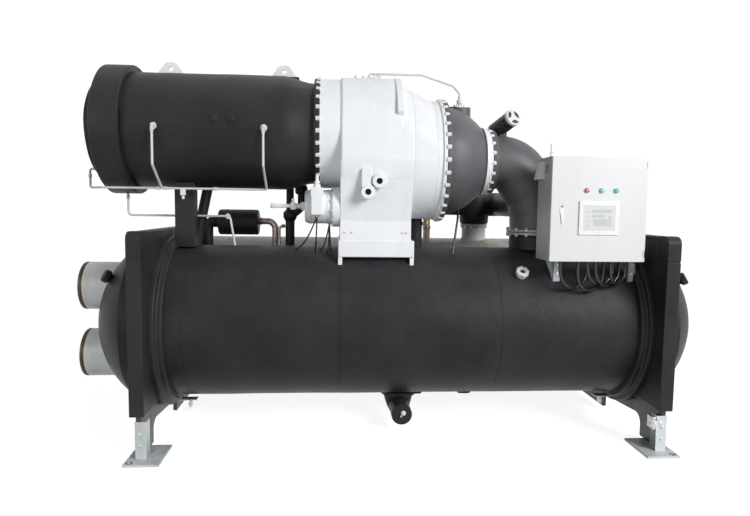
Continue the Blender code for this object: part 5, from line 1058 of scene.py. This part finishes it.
# Vane actuator: a black tubular motor drive on a short bracket over the vane ring, with ribs for cooling
# and a pale moulded end cap that has three slots round its hub. A lead runs from under the suction cover
# down to the evaporator.
ROOT = Vector((0.712, 0.090, 2.262))
TIP = Vector((0.822, -0.150, 2.366))
along = (TIP - ROOT).normalized()
length = (TIP - ROOT).length
barrel = [(-0.060, 0), (-0.060, 0.025), (0.048, 0.025), (0.050, 0.062)]
for i in range(6):
    barrel += [(0.066 + 0.026 * i, 0.062), (0.068 + 0.026 * i, 0.0595), (0.072 + 0.026 * i, 0.0595),
               (0.074 + 0.026 * i, 0.062)]
barrel += [(length - 0.026, 0.062), (length - 0.026, 0)]
drive = [turned(eased(barrel, 0.0015), ROOT, along, 64)]
drive.append(slab((0.672, -0.035, 2.225), (0.735, 0.060, 2.285), 0.006))
drive.append(slab((0.748, -0.040, 2.222), (0.806, 0.030, 2.272), 0.006))
piece("vane_drive", joined(drive), black_paint, "vane_actuator")
moulding = sprayed("pale_moulding", (0.72, 0.74, 0.74), (0.35, 0.35, 0.34), 0.2, roughness=0.3,
                   relief=0.0006)
lid = turned(eased([(-0.026, 0), (-0.026, 0.0660), (-0.004, 0.0660), (0, 0.061), (0, 0)], 0.003), TIP, along,
             64)
piece("vane_drive_cap", lid, moulding)
tilt = along.to_track_quat("Z", "Y")
# The cap's three slots are black wedges laid on its face: painted shade standing for the dark inside of the
# openings.
slots = []
for i in range(3):
    wedge = []
    for radius, first, last in ((0.052, -40, 40), (0.025, 26, -26)):
        for k in range(9):
            angle = radians(120 * i + 34 + first + (last - first) * k / 8)
            wedge.append((radius * cos(angle), radius * sin(angle)))
    slot = prism(wedge, -0.002, 0.0012, "Z", 0.0004)
    bmesh.ops.transform(slot, matrix=Matrix.Translation(TIP) @ tilt.to_matrix().to_4x4(), verts=slot.verts)
    slots.append(slot)
piece("vane_drive_slot_shade", joined(slots), black_paint)
lead = eased([(0.440, -0.02, 1.700), (0.428, -0.10, 1.610), (0.372, -0.20, 1.333)], 0.12, 6)
piece("vane_drive_lead", swept(lead, 0.0085, 16), cable_sheath)


# Small bore lines: bent steel tube painted off-white with compression fittings. The cooling line runs
# along the motor with two drops into its side, the thin line carries oil back from under the end cover,
# and the balance line arches over the casing to the cuff.
TUBE_RADIUS = 0.0085
DROPS = (-1.735, -0.996)
DROP_Y = -0.452
DROP_TOP = 2.212

tube_paint = sprayed("tube_paint", (0.66, 0.68, 0.68), (0.34, 0.32, 0.29), 0.35, roughness=0.36,
                     relief=0.0006)


def union(place, axis, radius=0.013, reach=0.016):
    """A compression fitting: a hexagon nut between two collars."""
    half = reach / 2
    hexagon = turned(peg(-half, half, radius, 0.002), place, axis, 6)
    collars = turned(peg(-reach, reach, radius * 0.85, 0.002),
                     place, axis, 20)
    return joined([hexagon, collars])


main = [(-2.2225, -0.150, 1.930), (-2.262, -0.150, 1.930), (-2.262, -0.150, 1.797), (-2.142, -0.240, 1.797),
        (DROPS[1], -0.240, 1.797), (DROPS[1], DROP_Y, 1.950), (DROPS[1], DROP_Y, DROP_TOP),
        (DROPS[1], -0.419, DROP_TOP)]
drop = [(DROPS[0], -0.419, DROP_TOP), (DROPS[0], DROP_Y, DROP_TOP), (DROPS[0], DROP_Y, 1.950),
        (DROPS[0], -0.240, 1.799)]
lines = [swept(eased(main, 0.018, 5), TUBE_RADIUS, 16), swept(eased(drop, 0.018, 5), TUBE_RADIUS, 16)]
for x in DROPS:
    lines += [union((x, -0.430, DROP_TOP), Y_AXIS, 0.016, 0.012), union((x, DROP_Y, 2.185), Z_AXIS)]
    lines.append(turned(eased([(0, 0.024), (0.004, 0.024), (0.006, 0.014)], 0.002), (x, -0.414, DROP_TOP),
                        -Y_AXIS, 24))
for x in (DROPS[0] - 0.024, DROPS[0] + 0.024, -1.36):
    lines.append(union((x, -0.240, 1.797), X_AXIS, 0.0135))
lines.append(union((-2.262, -0.150, 1.880), Z_AXIS))
piece("motor_cooling_tubes", joined(lines), tube_paint, "motor_cooling_line")
block = slab((-1.604, -0.258, 1.748), (-1.570, -0.222, 1.796), 0.004)
stem = turned(peg(0, 0.028, 0.010, 0.003), (-1.587, -0.240, 1.750), -Z_AXIS,
              6)
piece("cooling_line_valve", joined([block, stem]), bolt_paint)

thin = [(-2.050, 0, 1.761), (-2.050, 0, 1.600), (-1.300, 0, 1.600), (-1.264, 0, 1.378)]
lines = [swept(eased(thin, 0.030, 6), TUBE_RADIUS, 16), union((-2.050, 0, 1.735), Z_AXIS, 0.014)]
for axis in (X_AXIS, Z_AXIS):
    lines.append(union((-1.318, 0, 1.600), axis, 0.0135, 0.020))
piece("oil_return_tubes", joined(lines), tube_paint, "oil_return_line")

arch = [(-0.255, 0, 2.6425), (-0.255, 0, 2.684), (0.146, 0, 2.684), (0.385, 0, 2.611),
        (0.440, 0, 2.552), (0.440, 0, 2.4715)]
lines = [swept(eased(arch, 0.030, 6), TUBE_RADIUS, 16), union((-0.255, 0, 2.658), Z_AXIS, 0.014)]
lines.append(turned(eased([(0, 0), (0, 0.023), (0.028, 0.023), (0.034, 0.016), (0.058, 0.012), (0.058, 0)],
                          0.003),
                    (0.440, 0, 2.475), Z_AXIS, 24))
lines.append(slab((-0.222, -0.028, 2.640), (-0.168, 0.028, 2.668), 0.005))
lines.append(turned(peg(0, 0.030, 0.010, 0.003), (-0.300, 0, 2.640), Z_AXIS, 20))
piece("balance_tube", joined(lines), tube_paint, "balance_line")


# Lagged pipes under the motor: the motor's drain, the separator drum with its lagged inlet and bare
# weathered copper outlet, and the liquid riser with a lagged valve, a lagged tail up to the motor and a
# short bare branch.
bare_pipe = metal("bare_weathered_pipe", (0.52, 0.43, 0.39), (0.34, 0.28, 0.25), 0.35, 0.6)

bends = [(-1.465, 0.060, 1.860), (-1.500, 0.060, 1.700), (-1.550, 0.060, 1.470), (-1.560, 0.060, 1.370)]
piece("motor_drain_foam", wavy(swept(eased(bends, 0.14, 8), 0.038, 40), 0.0015, 9.0), foam,
      "motor_drain_pipe")
drum = peg(0, 0.325, 0.104, 0.016)
parts = [turned(drum, (-1.460, 0.420, 1.545), X_AXIS, 72)]
for start in (0.060, 0.250):
    strap = [(start, 0.102), (start, 0.1052), (start + 0.014, 0.1052), (start + 0.014, 0.102)]
    parts.append(turned(strap, (-1.460, 0.420, 1.545), X_AXIS, 72))
inlet = [(-1.450, 0.420, 1.545), (-1.555, 0.420, 1.545), (-1.555, 0.420, 1.170)]
parts.append(wavy(swept(eased(inlet, 0.080, 10), 0.045, 40), 0.0015, 9.0))
piece("separator_foam", joined(parts), foam, "oil_separator_drum")
outlet = [(-1.1345, 0.420, 1.555), (-1.000, 0.420, 1.555), (-1.000, 0.420, 1.170)]
parts = [swept(eased(outlet, 0.095, 10), 0.027, 32), union((-1.118, 0.420, 1.555), X_AXIS, 0.034, 0.016)]
piece("separator_outlet", joined(parts), bare_pipe, "drum_outlet_pipe")
sleeve = eased([(1.190, 0), (1.190, 0.037), (1.560, 0.037), (1.590, 0.055), (1.630, 0.055), (1.655, 0.031),
                (1.900, 0.031), (1.900, 0)], 0.012)
riser = [turned(sleeve, (-0.870, 0.300, 0), Z_AXIS, 40)]
riser.append(turned(peg(0, 0.060, 0.026, 0.008), (-0.870, 0.270, 1.610),
                    -Y_AXIS, 24))
tail = eased([(-0.870, 0.300, 1.595), (-0.775, 0.290, 1.675), (-0.770, 0.240, 1.880)], 0.060, 8)
riser.append(wavy(swept(tail, 0.034, 40), 0.0020, 12.0))
riser.append(turned(peg(0, 0.075, 0.050, 0.022, 5), (-0.775, 0.225, 1.775),
                    Z_AXIS, 40))
piece("riser_foam", joined(riser), foam, "liquid_riser")
branch = [(-0.885, 0.290, 1.520), (-0.955, 0.280, 1.520), (-0.955, 0.280, 1.372)]
parts = [swept(eased(branch, 0.030, 6), 0.011, 20), union((-0.925, 0.284, 1.520), X_AXIS, 0.017, 0.014)]
piece("riser_branch", joined(parts), bare_pipe)


# Discharge and bypass: a lagged gas pipe from the volute's back to a lagged check valve on the
# condenser's painted steel column, the lagged hot gas bypass on to the elbow, the bare equalising pipe
# and the volute's lagged drain with its brass tap.
COND_Y = 1.160
COLUMN_X = 0.850
path = eased([(0.148, 0.20, 1.720), (0.148, COND_Y, 1.720), (COLUMN_X, COND_Y, 1.720),
              (COLUMN_X, COND_Y, 1.536)], 0.160, 14)
gas = [wavy(swept(path, 0.105, 56), 0.002, 6.0)]
bypass = eased([(0.850, COND_Y, 1.722), (ELBOW_X, COND_Y, 1.722), (ELBOW_X, 0.16, 1.722)], 0.130, 10)
gas.append(wavy(swept(bypass, 0.112, 56), 0.0045, 9.0))
jacket = peg(0.001, 0.264, 0.138, 0.014)
gas.append(wavy(turned(jacket, (COLUMN_X, COND_Y, 1.5353), Z_AXIS, 64), 0.0025, 7.0))
for z in (1.585, 1.745):
    strap = [(z, 0.136), (z, 0.1402), (z + 0.018, 0.1402), (z + 0.018, 0.136)]
    gas.append(turned(strap, (COLUMN_X, COND_Y, 0), Z_AXIS, 64))
piece("discharge_foam", joined(gas), foam, "discharge_pipe")
column = eased([(1.230, 0), (1.230, 0.115), (1.507, 0.115), (1.507, 0.130), (1.5345, 0.130), (1.5345, 0)],
               0.005)
weld = [(COLUMN_X + 0.117 * cos(t), COND_Y + 0.117 * sin(t), 0.940 + on_circle(0.452, 0.117 * sin(t)))
        for t in [2 * pi * i / 48 for i in range(49)]]
parts = [turned(column, (COLUMN_X, COND_Y, 0), Z_AXIS, 72), swept(weld, 0.006, 8)]
piece("condenser_column", joined(parts), tube_paint, "discharge_column")
bolts = hexagon_heads(round_places((COLUMN_X, COND_Y, 1.507), Z_AXIS, 0.121, 12, 0.1), -Z_AXIS, 0.016, 0.012)
piece("column_bolts", bolts, zinc)
valve = eased([(1.345, 0), (1.345, 0.034), (1.480, 0.034), (1.485, 0.040), (1.505, 0.040), (1.510, 0.034),
               (1.672, 0.034), (1.672, 0)], 0.004)
parts = [turned(valve, (0.385, COND_Y, 0), Z_AXIS, 40), union((0.385, COND_Y, 1.600), Z_AXIS, 0.044, 0.030)]
piece("equaliser_tube", joined(parts), bare_pipe, "equalising_pipe")
lower = peg(1.372, 1.700, 0.044, 0.006)
piece("volute_drain_foam", wavy(turned(lower, (0.124, 0, 0), Z_AXIS, 40), 0.0015, 9.0), foam,
      "volute_drain_pipe")
tap = [union((0.185, -0.02, 1.560), X_AXIS, 0.016, 0.018),
       union((0.205, -0.02, 1.575), Z_AXIS, 0.011, 0.020)]
piece("volute_drain_tap", joined(tap), brass)


# Underneath and in front of the evaporator: the lagged refrigerant sump with its white screwed plug and
# brass core, a patch of foam over a weld, and the sight glass in its white screwed body.
sump = eased([(0, -0.02, 0.532), (0, -0.02, 0.146), (0, -0.299, 0.146)], 0.085, 12)
radii = [0.125 - 0.048 * min(1, i / 13) for i in range(len(sump))]
lagging = [wavy(swept(sump, radii, 56), 0.002, 8.0)]
roll = [(0.230, 0.128), (0.230, 0.140), (0.262, 0.140), (0.262, 0.128)]
lagging.append(turned(eased(roll, 0.010), (0, -0.02, 0), Z_AXIS, 64))
piece("sump_foam", joined(lagging), foam, "evaporator_drain")
plug = eased([(0, 0), (0, 0.018), (0.010, 0.018), (0.010, 0.011), (0.020, 0.011), (0.020, 0)], 0.002)
piece("sump_plug", turned(plug, (0.012, -0.298, 0.158), -Y_AXIS, 24), bolt_paint)
core = turned([(0, 0.0085), (0.024, 0.0085), (0.024, 0)], (-0.006, -0.298, 0.140), -Y_AXIS, 6)
piece("sump_core", core, brass)
patch = []
for x in (0.12, 0.50):
    y, z = -0.13, EVAP_HEIGHT - on_circle(EVAP_RADIUS, 0.13)
    patch.append(turned(eased([(-0.03, 0.052), (0.010, 0.052), (0.014, 0)], 0.010, 5), (x, y, z),
                        Vector((0, y, z - EVAP_HEIGHT)), 40))
piece("shell_weld_foam", joined(patch), foam)

SIGHT = radians(44)
outward = Vector((0, -cos(SIGHT), sin(SIGHT)))
seat = Vector((0.836, 0, EVAP_HEIGHT)) + outward * 0.562
body = eased([(-0.01, 0), (-0.01, 0.035), (0.026, 0.035), (0.027, 0.043), (0.053, 0.043), (0.053, 0.0195),
              (0.034, 0.0195), (0.034, 0)], 0.003)
parts = [turned(body, seat, outward, 56)]
for i in range(8):
    t = 2 * pi * i / 8
    spot = (seat + outward * 0.040
            + outward.to_track_quat("Z", "Y") @ Vector((0.043 * cos(t), 0.043 * sin(t), 0)))
    parts.append(turned([(-0.0115, 0.0052), (0.0115, 0.0052)], spot, outward, 10))
piece("sight_glass_body", joined(parts), bolt_paint, "sight_glass")
# The window is an opaque glossy disc in near-black tones: painted shade standing for the unlit inside of the
# evaporator seen through clear glass.
glass = grained("sight_window_painted_shade", (0.012, 0.016, 0.018), (0.035, 0.042, 0.045), (60, 3.0), (120, 3.0),
                (0.05, 0.12), (40, 2.0), 0.0002)
piece("sight_window_painted_shade", turned(eased([(0.034, 0), (0.034, 0.019), (0.040, 0.019), (0.041, 0)], 0.002), seat,
                             outward, 40), glass)


# Condenser: a bare steel shell under one coat of warm grey primer, with rolled and welded courses, square
# end plates on legs, bolted dished heads and two stub pipes for cooling water.
COND_AXIS = Vector((0, COND_Y, 0.940))
COND_RADIUS = 0.450
COND_INNER = 1.7575
COND_OUTER = 1.8025
COND_FLANGE_RADIUS = 0.480
COND_HEIGHTS = (("lower", 0.740), ("upper", 1.140))

courses = []
for x in (-1.05, -0.35, 0.35, 1.05):
    courses += [(x - 0.007, COND_RADIUS), (x - 0.003, COND_RADIUS + 0.002), (x + 0.003, COND_RADIUS + 0.002),
                (x + 0.007, COND_RADIUS)]
drum = sliced([(-COND_INNER + 0.001, COND_RADIUS)] + courses + [(COND_INNER - 0.001, COND_RADIUS)], 0.08)
shell = [turned([(-COND_INNER + 0.001, 0)] + drum + [(COND_INNER - 0.001, 0)], COND_AXIS, X_AXIS, 128)]
for side in (-1, 1):
    bead = [side * (COND_INNER - 0.001), side * (COND_INNER - 0.010)]
    shell.append(turned([(bead[0], COND_RADIUS + 0.009), (bead[1], COND_RADIUS - 0.001),
                         (bead[0], COND_RADIUS - 0.001)], COND_AXIS, X_AXIS, 128, closed=True))
piece("condenser_barrel", joined(shell), bare_grey, "condenser_shell")
for side, word in ((-1, "left"), (1, "right")):
    low, high = sorted((side * COND_INNER, side * COND_OUTER))
    outline = eased([(0.6515, 0.330), (1.340, 0.330), (1.340, 0.0175)], 0.120, 10)[:-1]
    outline += [(1.340, 0.0175), (1.640, 0.0175)]
    outline += eased([(1.640, 0.0175), (1.640, 1.415), (0.6515, 1.415)], 0.080, 8)[1:]
    piece(f"condenser_plate_{word}", prism(outline, low, high, "X", 0.002), bare_grey,
          f"condenser_end_plate_{word}")
    start = COND_AXIS + X_AXIS * side * (COND_OUTER + 0.0005)
    dish = turned([(0, 0)] + eased(dished(COND_FLANGE_RADIUS, 0.050, 0.435, 0.070, 0.150), 0.006, 4), start,
                  X_AXIS * side, 128)
    head = piece(f"condenser_dish_{word}", dish, bare_grey, f"condenser_head_{word}")
    bolts = hexagon_heads(round_places(start + X_AXIS * side * 0.0495, X_AXIS, 0.4590, 28, 0.1),
                          X_AXIS * side, 0.024, 0.018)
    piece(f"condenser_bolts_{word}", bolts, zinc)
    if side > 0:
        continue
    for level, height in COND_HEIGHTS:
        foot = Vector((-COND_OUTER - 0.052, COND_Y, height))
        length = 2.190 + foot.x
        pipe = eased([(0.02, 0.127), (0.02, 0.137), (length, 0.137), (length, 0.127), (0.03, 0.127)], 0.003)
        piece(f"cooling_water_pipe_{level}", turned(pipe[:-1], foot, -X_AXIS, 80, closed=True), nozzle_paint,
              f"cooling_water_nozzle_{level}")
        carve(head, turned([(-0.03, 0.129), (length, 0.129)], foot, -X_AXIS, 80), f"condenser_bore_{level}")
        ring = turned(eased([(length - 0.045, 0.136), (length - 0.045, 0.1385), (length - 0.012, 0.1385),
                             (length - 0.012, 0.136)], 0.001), foot, -X_AXIS, 80)
        piece(f"cooling_water_band_{level}", ring, oiled_band)
    back = turned([(0.001, 0.41), (0.006, 0.41)], start, X_AXIS * side, 96)
    piece("condenser_tube_sheet", back, dark_steel)


# Brackets and clips: the panel's two angle brackets, galvanised clips under the shell at both end plates
# and the clamp box on the right front leg, each with its bolts.
for word, x in (("left", 1.053), ("right", 1.606)):
    outline = [(-0.440, EVAP_HEIGHT + on_circle(SADDLE_RADIUS, 0.440)), (-0.440, 1.3255), (-0.304, 1.3255)]
    outline += [(y, EVAP_HEIGHT + on_circle(SADDLE_RADIUS, y)) for y in (-0.304, -0.340, -0.380, -0.410)]
    web = prism(outline, x, x + 0.008, "X", 0.001)
    front = slab((x, -0.440, 1.166), (x + 0.057, -0.432, 1.3255), 0.0015)
    piece(f"panel_angle_{word}", joined([web, front]), foot_paint, f"panel_bracket_{word}")
    spots = [Vector((x + 0.034, -0.440, z)) for z in (1.225, 1.290)]
    piece(f"panel_angle_bolts_{word}", hexagon_heads(spots, -Y_AXIS, 0.016, 0.009), zinc)
galvanised = metal("galvanised_clip", (0.62, 0.64, 0.65), (0.40, 0.42, 0.43), 0.34, 0.52)
for word, side in (("left", -1), ("right", 1)):
    x = side * 1.520
    low, high = sorted((x, x + side * 0.115))
    clip = [slab((low, -0.205, 0.238), (high, -0.135, 0.245), 0.001)]
    near = sorted((x + side * 0.045, x + side * 0.052))
    clip.append(slab((near[0], -0.205, 0.180), (near[1], -0.135, 0.245), 0.001))
    piece(f"shell_clip_{word}", joined(clip), galvanised)
    spots = [Vector((x + side * 0.052, y, 0.205)) for y in (-0.188, -0.152)]
    piece(f"shell_clip_bolts_{word}", hexagon_heads(spots, X_AXIS * side, 0.014, 0.010), zinc)
clamp = [slab((1.700, -0.716, 0.170), (1.765, -0.640, 0.256), 0.003)]
clamp.append(slab((1.692, -0.7205, 0.196), (1.770, -0.716, 0.232), 0.0015))
piece("leg_clamp_box", joined(clamp), galvanised)
spots = [Vector((x, -0.7205, z)) for x, z in ((1.712, 0.214), (1.750, 0.214), (1.731, 0.246))]
piece("leg_clamp_bolts", hexagon_heads(spots, -Y_AXIS, 0.015, 0.010), zinc)


# Control panel: a folded and welded sheet steel case in white powder paint, with a rain hood over its side
# louvre, screwed glands below, two lift-off hinges and a flush door with a foam gasket behind it.
PANEL_LEFT = 0.958
PANEL_RIGHT = 1.632
PANEL_BOTTOM = 1.326
PANEL_TOP = 2.043
PANEL_FRONT = -0.5965
PANEL_BACK = -0.345
PANEL_WALL = 0.006
DOOR_FRONT = -0.621
DOOR_BACK = -0.605
HINGE = Vector((1.624, -0.613, 0))
HINGE_HEIGHTS = (1.381, 1.988)
NOTCH = 0.022

panel_paint, tree, shader = new_material("panel_powder_paint", 0.5)
place_group(tree, shader, paint_group("powder_paint", 700), 0.0006, Base=(0.70, 0.715, 0.72),
            Grime=(0.46, 0.45, 0.43), Dirt=0.10)
# The case takes a darker copy of the door's powder paint: painted shade, standing in for the shade on its
# sides.
case_paint_with_painted_shade, tree, shader = new_material("case_powder_paint_painted_shade", 0.5)
place_group(tree, shader, bpy.data.node_groups["powder_paint"], 0.0006, Base=(0.40, 0.395, 0.37),
            Grime=(0.30, 0.29, 0.27), Dirt=0.15)

# Its shell wears the darker copy of the paint: painted shade.
case = piece("panel_case_shell", slab((PANEL_LEFT, PANEL_FRONT, PANEL_BOTTOM),
                                      (PANEL_RIGHT, PANEL_BACK, PANEL_TOP), 0.004),
             case_paint_with_painted_shade, "panel_case")
inside = slab((PANEL_LEFT + PANEL_WALL, PANEL_FRONT - 0.05, PANEL_BOTTOM + PANEL_WALL),
              (PANEL_RIGHT - PANEL_WALL, PANEL_BACK - PANEL_WALL, PANEL_TOP - PANEL_WALL), 0.003)
carve(case, inside, "panel_inside")
lip = piece("panel_case_lip", slab((PANEL_LEFT + 0.001, PANEL_FRONT + 0.0005, PANEL_BOTTOM + 0.001),
                                   (PANEL_RIGHT - 0.001, PANEL_FRONT + 0.0030, PANEL_TOP - 0.001)),
            panel_paint)
opening = slab((PANEL_LEFT + 0.032, PANEL_FRONT - 0.05, PANEL_BOTTOM + 0.032),
               (PANEL_RIGHT - 0.032, PANEL_FRONT + 0.05, PANEL_TOP - 0.032), 0.001)
carve(lip, opening, "panel_lip_opening")
backplate = slab((PANEL_LEFT + 0.040, PANEL_BACK - 0.016, PANEL_BOTTOM + 0.045),
                 (PANEL_RIGHT - 0.040, PANEL_BACK - 0.0135, PANEL_TOP - 0.045), 0.001)
rails = [backplate]
for z in (1.50, 1.68, 1.86):
    rails.append(slab((PANEL_LEFT + 0.075, PANEL_BACK - 0.024, z), (PANEL_RIGHT - 0.075, PANEL_BACK - 0.016,
                                                                    z + 0.035), 0.002))
piece("panel_mounting_plate", joined(rails), zinc)

hinges = []
for middle in HINGE_HEIGHTS:
    half, pin = NOTCH - 0.001, NOTCH + 0.009
    barrel = [(-pin, 0), (-pin, 0.004), (-half, 0.004), (-half, 0.007), (half, 0.007), (half, 0.004),
              (pin, 0.004), (pin, 0)]
    hinges.append(turned(eased(barrel, 0.0006), HINGE + Vector((0, 0, middle)), Z_AXIS, 32))
    hinges.append(slab((HINGE.x - 0.005, HINGE.y + 0.001, middle - half + 0.002),
                       (HINGE.x + 0.005, PANEL_FRONT + 0.009, middle + half - 0.002), 0.001))
piece("panel_hinges", joined(hinges), panel_paint)
glands = []
for places in CABLE_ROUTES:
    for place in (places[0], places[-1]):
        spot = PANEL_CORNER + Vector((place[0], place[1], 0.002))
        glands.append(turned([(0, 0.0165), (0.007, 0.0165)], spot, -Z_AXIS, 6))
        glands.append(turned(eased([(0.006, 0), (0.006, 0.0150), (0.0155, 0.0140), (0.0155, 0)], 0.002),
                             spot, -Z_AXIS, 28))
piece("cable_glands", joined(glands), black_paint)
hood = [(PANEL_LEFT + 0.003, 1.891), (PANEL_LEFT + 0.003, 2.016), (PANEL_LEFT - 0.010, 2.016),
        (PANEL_LEFT - 0.045, 1.891)]
piece("panel_rain_hood", prism(hood, -0.465, -0.375, "Y", 0.002), panel_paint)
# The louvre's slots are black strips laid on the side wall: painted shade standing for the dark inside of
# the openings.
slit_shade_strips = [slab((PANEL_LEFT - 0.0012, -0.548, z), (PANEL_LEFT + 0.001, -0.482, z + 0.006), 0.0005)
         for z in (1.935, 1.950, 1.965, 1.980)]
piece("panel_side_slot_shade", joined(slit_shade_strips), black_paint)
rod = [turned(eased([(0, 0.012), (0.012, 0.012), (0.012, 0.005), (0.098, 0.005), (0.098, 0)], 0.002),
              (1.000, -0.470, PANEL_TOP - 0.001), Z_AXIS, 24)]
rod.append(turned([(0.026, 0.009), (0.038, 0.009)], (1.000, -0.470, PANEL_TOP), Z_AXIS, 6))
rod.append(swept([(1.000, -0.470, PANEL_TOP + 0.034), (1.026, -0.474, PANEL_TOP + 0.040)], 0.003, 12))
piece("panel_aerial", joined(rod), tube_paint)

door = piece("panel_door_sheet", slab((PANEL_LEFT, DOOR_FRONT, PANEL_BOTTOM),
                                      (PANEL_RIGHT, DOOR_BACK, PANEL_TOP), 0.003),
             panel_paint, "panel_door", body="door")
for number, middle in enumerate(HINGE_HEIGHTS):
    gap = slab((PANEL_RIGHT - 0.0165, DOOR_FRONT - 0.02, middle - NOTCH),
               (PANEL_RIGHT + 0.02, DOOR_BACK + 0.02, middle + NOTCH))
    carve(door, gap, f"door_notch_{number}")
inset = 0.020
outline = [(PANEL_LEFT + inset, PANEL_BOTTOM + inset), (PANEL_RIGHT - inset - 0.012, PANEL_BOTTOM + inset),
           (PANEL_RIGHT - inset - 0.012, PANEL_TOP - inset), (PANEL_LEFT + inset, PANEL_TOP - inset)]
seal = [Vector((x, DOOR_BACK + 0.0035, z)) for x, z in outline]
seal = [seal[0].lerp(seal[1], 0.5)] + seal[1:] + [seal[0], seal[0].lerp(seal[1], 0.5)]
piece("door_gasket", swept(eased(seal, 0.015, 4), 0.0045, 10), cable_sheath, body="door")


# Door fittings: a flush latch with its key dot, three domed signal lamps in steel bezels and a framed
# display behind clear film, with a made-up plain screen of pale fields.
PLANE = DOOR_FRONT - 0.0003
latch = eased([(1.018, 1.577), (1.018, 1.689), (1.048, 1.689), (1.048, 1.577), (1.0181, 1.577)], 0.012,
              5)[1:-1]
parts = [prism(latch, PLANE - 0.0035, PLANE, "Y", 0.001)]
parts.append(prism(eased([(1.024, 1.590), (1.024, 1.655), (1.042, 1.655), (1.042, 1.590), (1.0241, 1.590)],
                         0.008, 4)[1:-1], PLANE - 0.0060, PLANE - 0.003, "Y", 0.001))
latch_paint = sprayed("latch_moulding", (0.80, 0.81, 0.81), (0.4, 0.4, 0.4), 0.15, roughness=0.3,
                      relief=0.0004)
piece("door_latch", joined(parts), latch_paint, "panel_lock", body="door")
key = turned(eased([(0, 0), (0, 0.0048), (0.0062, 0.0048), (0.0068, 0)], 0.001), (1.035, PLANE, 1.703),
             -Y_AXIS, 20)
piece("door_latch_key", key, blued_steel, body="door")


def lens(name, colour, deep):
    """Coloured moulded lens: darker in its depth, clear and glossy on its dome."""
    made, tree, shader = new_material(name, 0.12)
    shader.inputs["Coat Weight"].default_value = 0.6
    edge = tree.nodes.new("ShaderNodeLayerWeight")
    edge.inputs["Blend"].default_value = 0.35
    shade = blend(tree, edge.outputs["Facing"], colour, deep)
    tree.links.new(blend(tree, span(tree, lumps(tree, 160, 2.0), 0.0, 0.25), shade, deep),
                   shader.inputs["Base Color"])
    tree.links.new(span(tree, lumps(tree, 90, 2.0), 0.08, 0.16), shader.inputs["Roughness"])
    bump(tree, shader, lumps(tree, 420, 1.0), 0.0002)
    return made


LIGHTS = (
    ("pilot_light_red", 1.201, lens("red_lens", (0.72, 0.08, 0.19), (0.30, 0.02, 0.07)), "lens_red"),
    ("pilot_light_run", 1.305, lens("cyan_lens", (0.10, 0.62, 0.62), (0.03, 0.24, 0.25)), "lens_green"),
    ("pilot_light_ready", 1.407, lens("green_lens", (0.06, 0.62, 0.60), (0.02, 0.24, 0.24)), "lens_green"),
)
for name, x, colour, slot in LIGHTS:
    spot = Vector((x, PLANE, 1.813))
    rim = eased([(0, 0), (0, 0.018), (0.006, 0.018), (0.006, 0.0172), (0.004, 0.0165), (0.004, 0)], 0.0005)
    piece(name + "_rim", turned(rim, spot, -Y_AXIS, 48), zinc, body="door")
    dome = [(0.003, 0), (0.003, 0.0165)] + [(0.005 + 0.009 * sin(t), 0.0165 * cos(t))
                                            for t in [pi / 2 * i / 9 for i in range(9)]] + [(0.014, 0)]
    piece(name + "_lens", turned(dome, spot, -Y_AXIS, 48), colour, name, body="door")

SCREEN = Vector((1.293, PLANE, 1.626))
frame_outline = [(SCREEN.x - 0.140, SCREEN.z - 0.116), (SCREEN.x + 0.140, SCREEN.z - 0.116),
                 (SCREEN.x + 0.140, SCREEN.z + 0.116), (SCREEN.x - 0.140, SCREEN.z + 0.116)]
bezel = piece("screen_bezel", prism(frame_outline, PLANE - 0.009, PLANE, "Y", 0.0025), latch_paint,
              "panel_screen", body="door")
carve(bezel, slab((SCREEN.x - 0.112, PLANE - 0.02, SCREEN.z - 0.086),
                  (SCREEN.x + 0.112, PLANE - 0.008, SCREEN.z + 0.086)), "screen_opening")
display = grained("display_film", (0.66, 0.68, 0.69), (0.72, 0.73, 0.72), (14, 2.0), (70, 2.0), (0.12, 0.22),
                  (30, 1.0), 0.0001)
piece("screen_display", slab((SCREEN.x - 0.112, PLANE - 0.0083, SCREEN.z - 0.086),
                             (SCREEN.x + 0.112, PLANE - 0.0079, SCREEN.z + 0.086)), display,
      body="door")


def field(name, colour, places):
    """Printed fields of one pale tone on the display, each from its left, bottom, width and height."""
    made, tree, shader = new_material(name, 0.2)
    darker = tuple(part * 0.9 for part in colour)
    tree.links.new(blend(tree, lumps(tree, 120, 2.0), colour, darker), shader.inputs["Base Color"])
    tree.links.new(span(tree, lumps(tree, 70, 2.0), 0.15, 0.25), shader.inputs["Roughness"])
    bump(tree, shader, lumps(tree, 60, 1.0), 0.0001)
    tiles = [slab((SCREEN.x + x, PLANE - 0.0086, SCREEN.z + z),
                  (SCREEN.x + x + wide, PLANE - 0.0082, SCREEN.z + z + high)) for x, z, wide, high in places]
    piece(name, joined(tiles), made, body="door")


field("screen_grey_fields", (0.57, 0.60, 0.62),
      ((-0.052, 0.036, 0.140, 0.022), (-0.040, -0.054, 0.096, 0.046)))
field("screen_pale_fields", (0.60, 0.62, 0.63),
      ((-0.052, 0.002, 0.092, 0.022), (0.060, -0.054, 0.028, 0.070)))
field("screen_key_fields", (0.66, 0.66, 0.52), tuple((-0.096, -0.062 + 0.033 * i, 0.026, 0.012)
                                                    for i in range(4)))
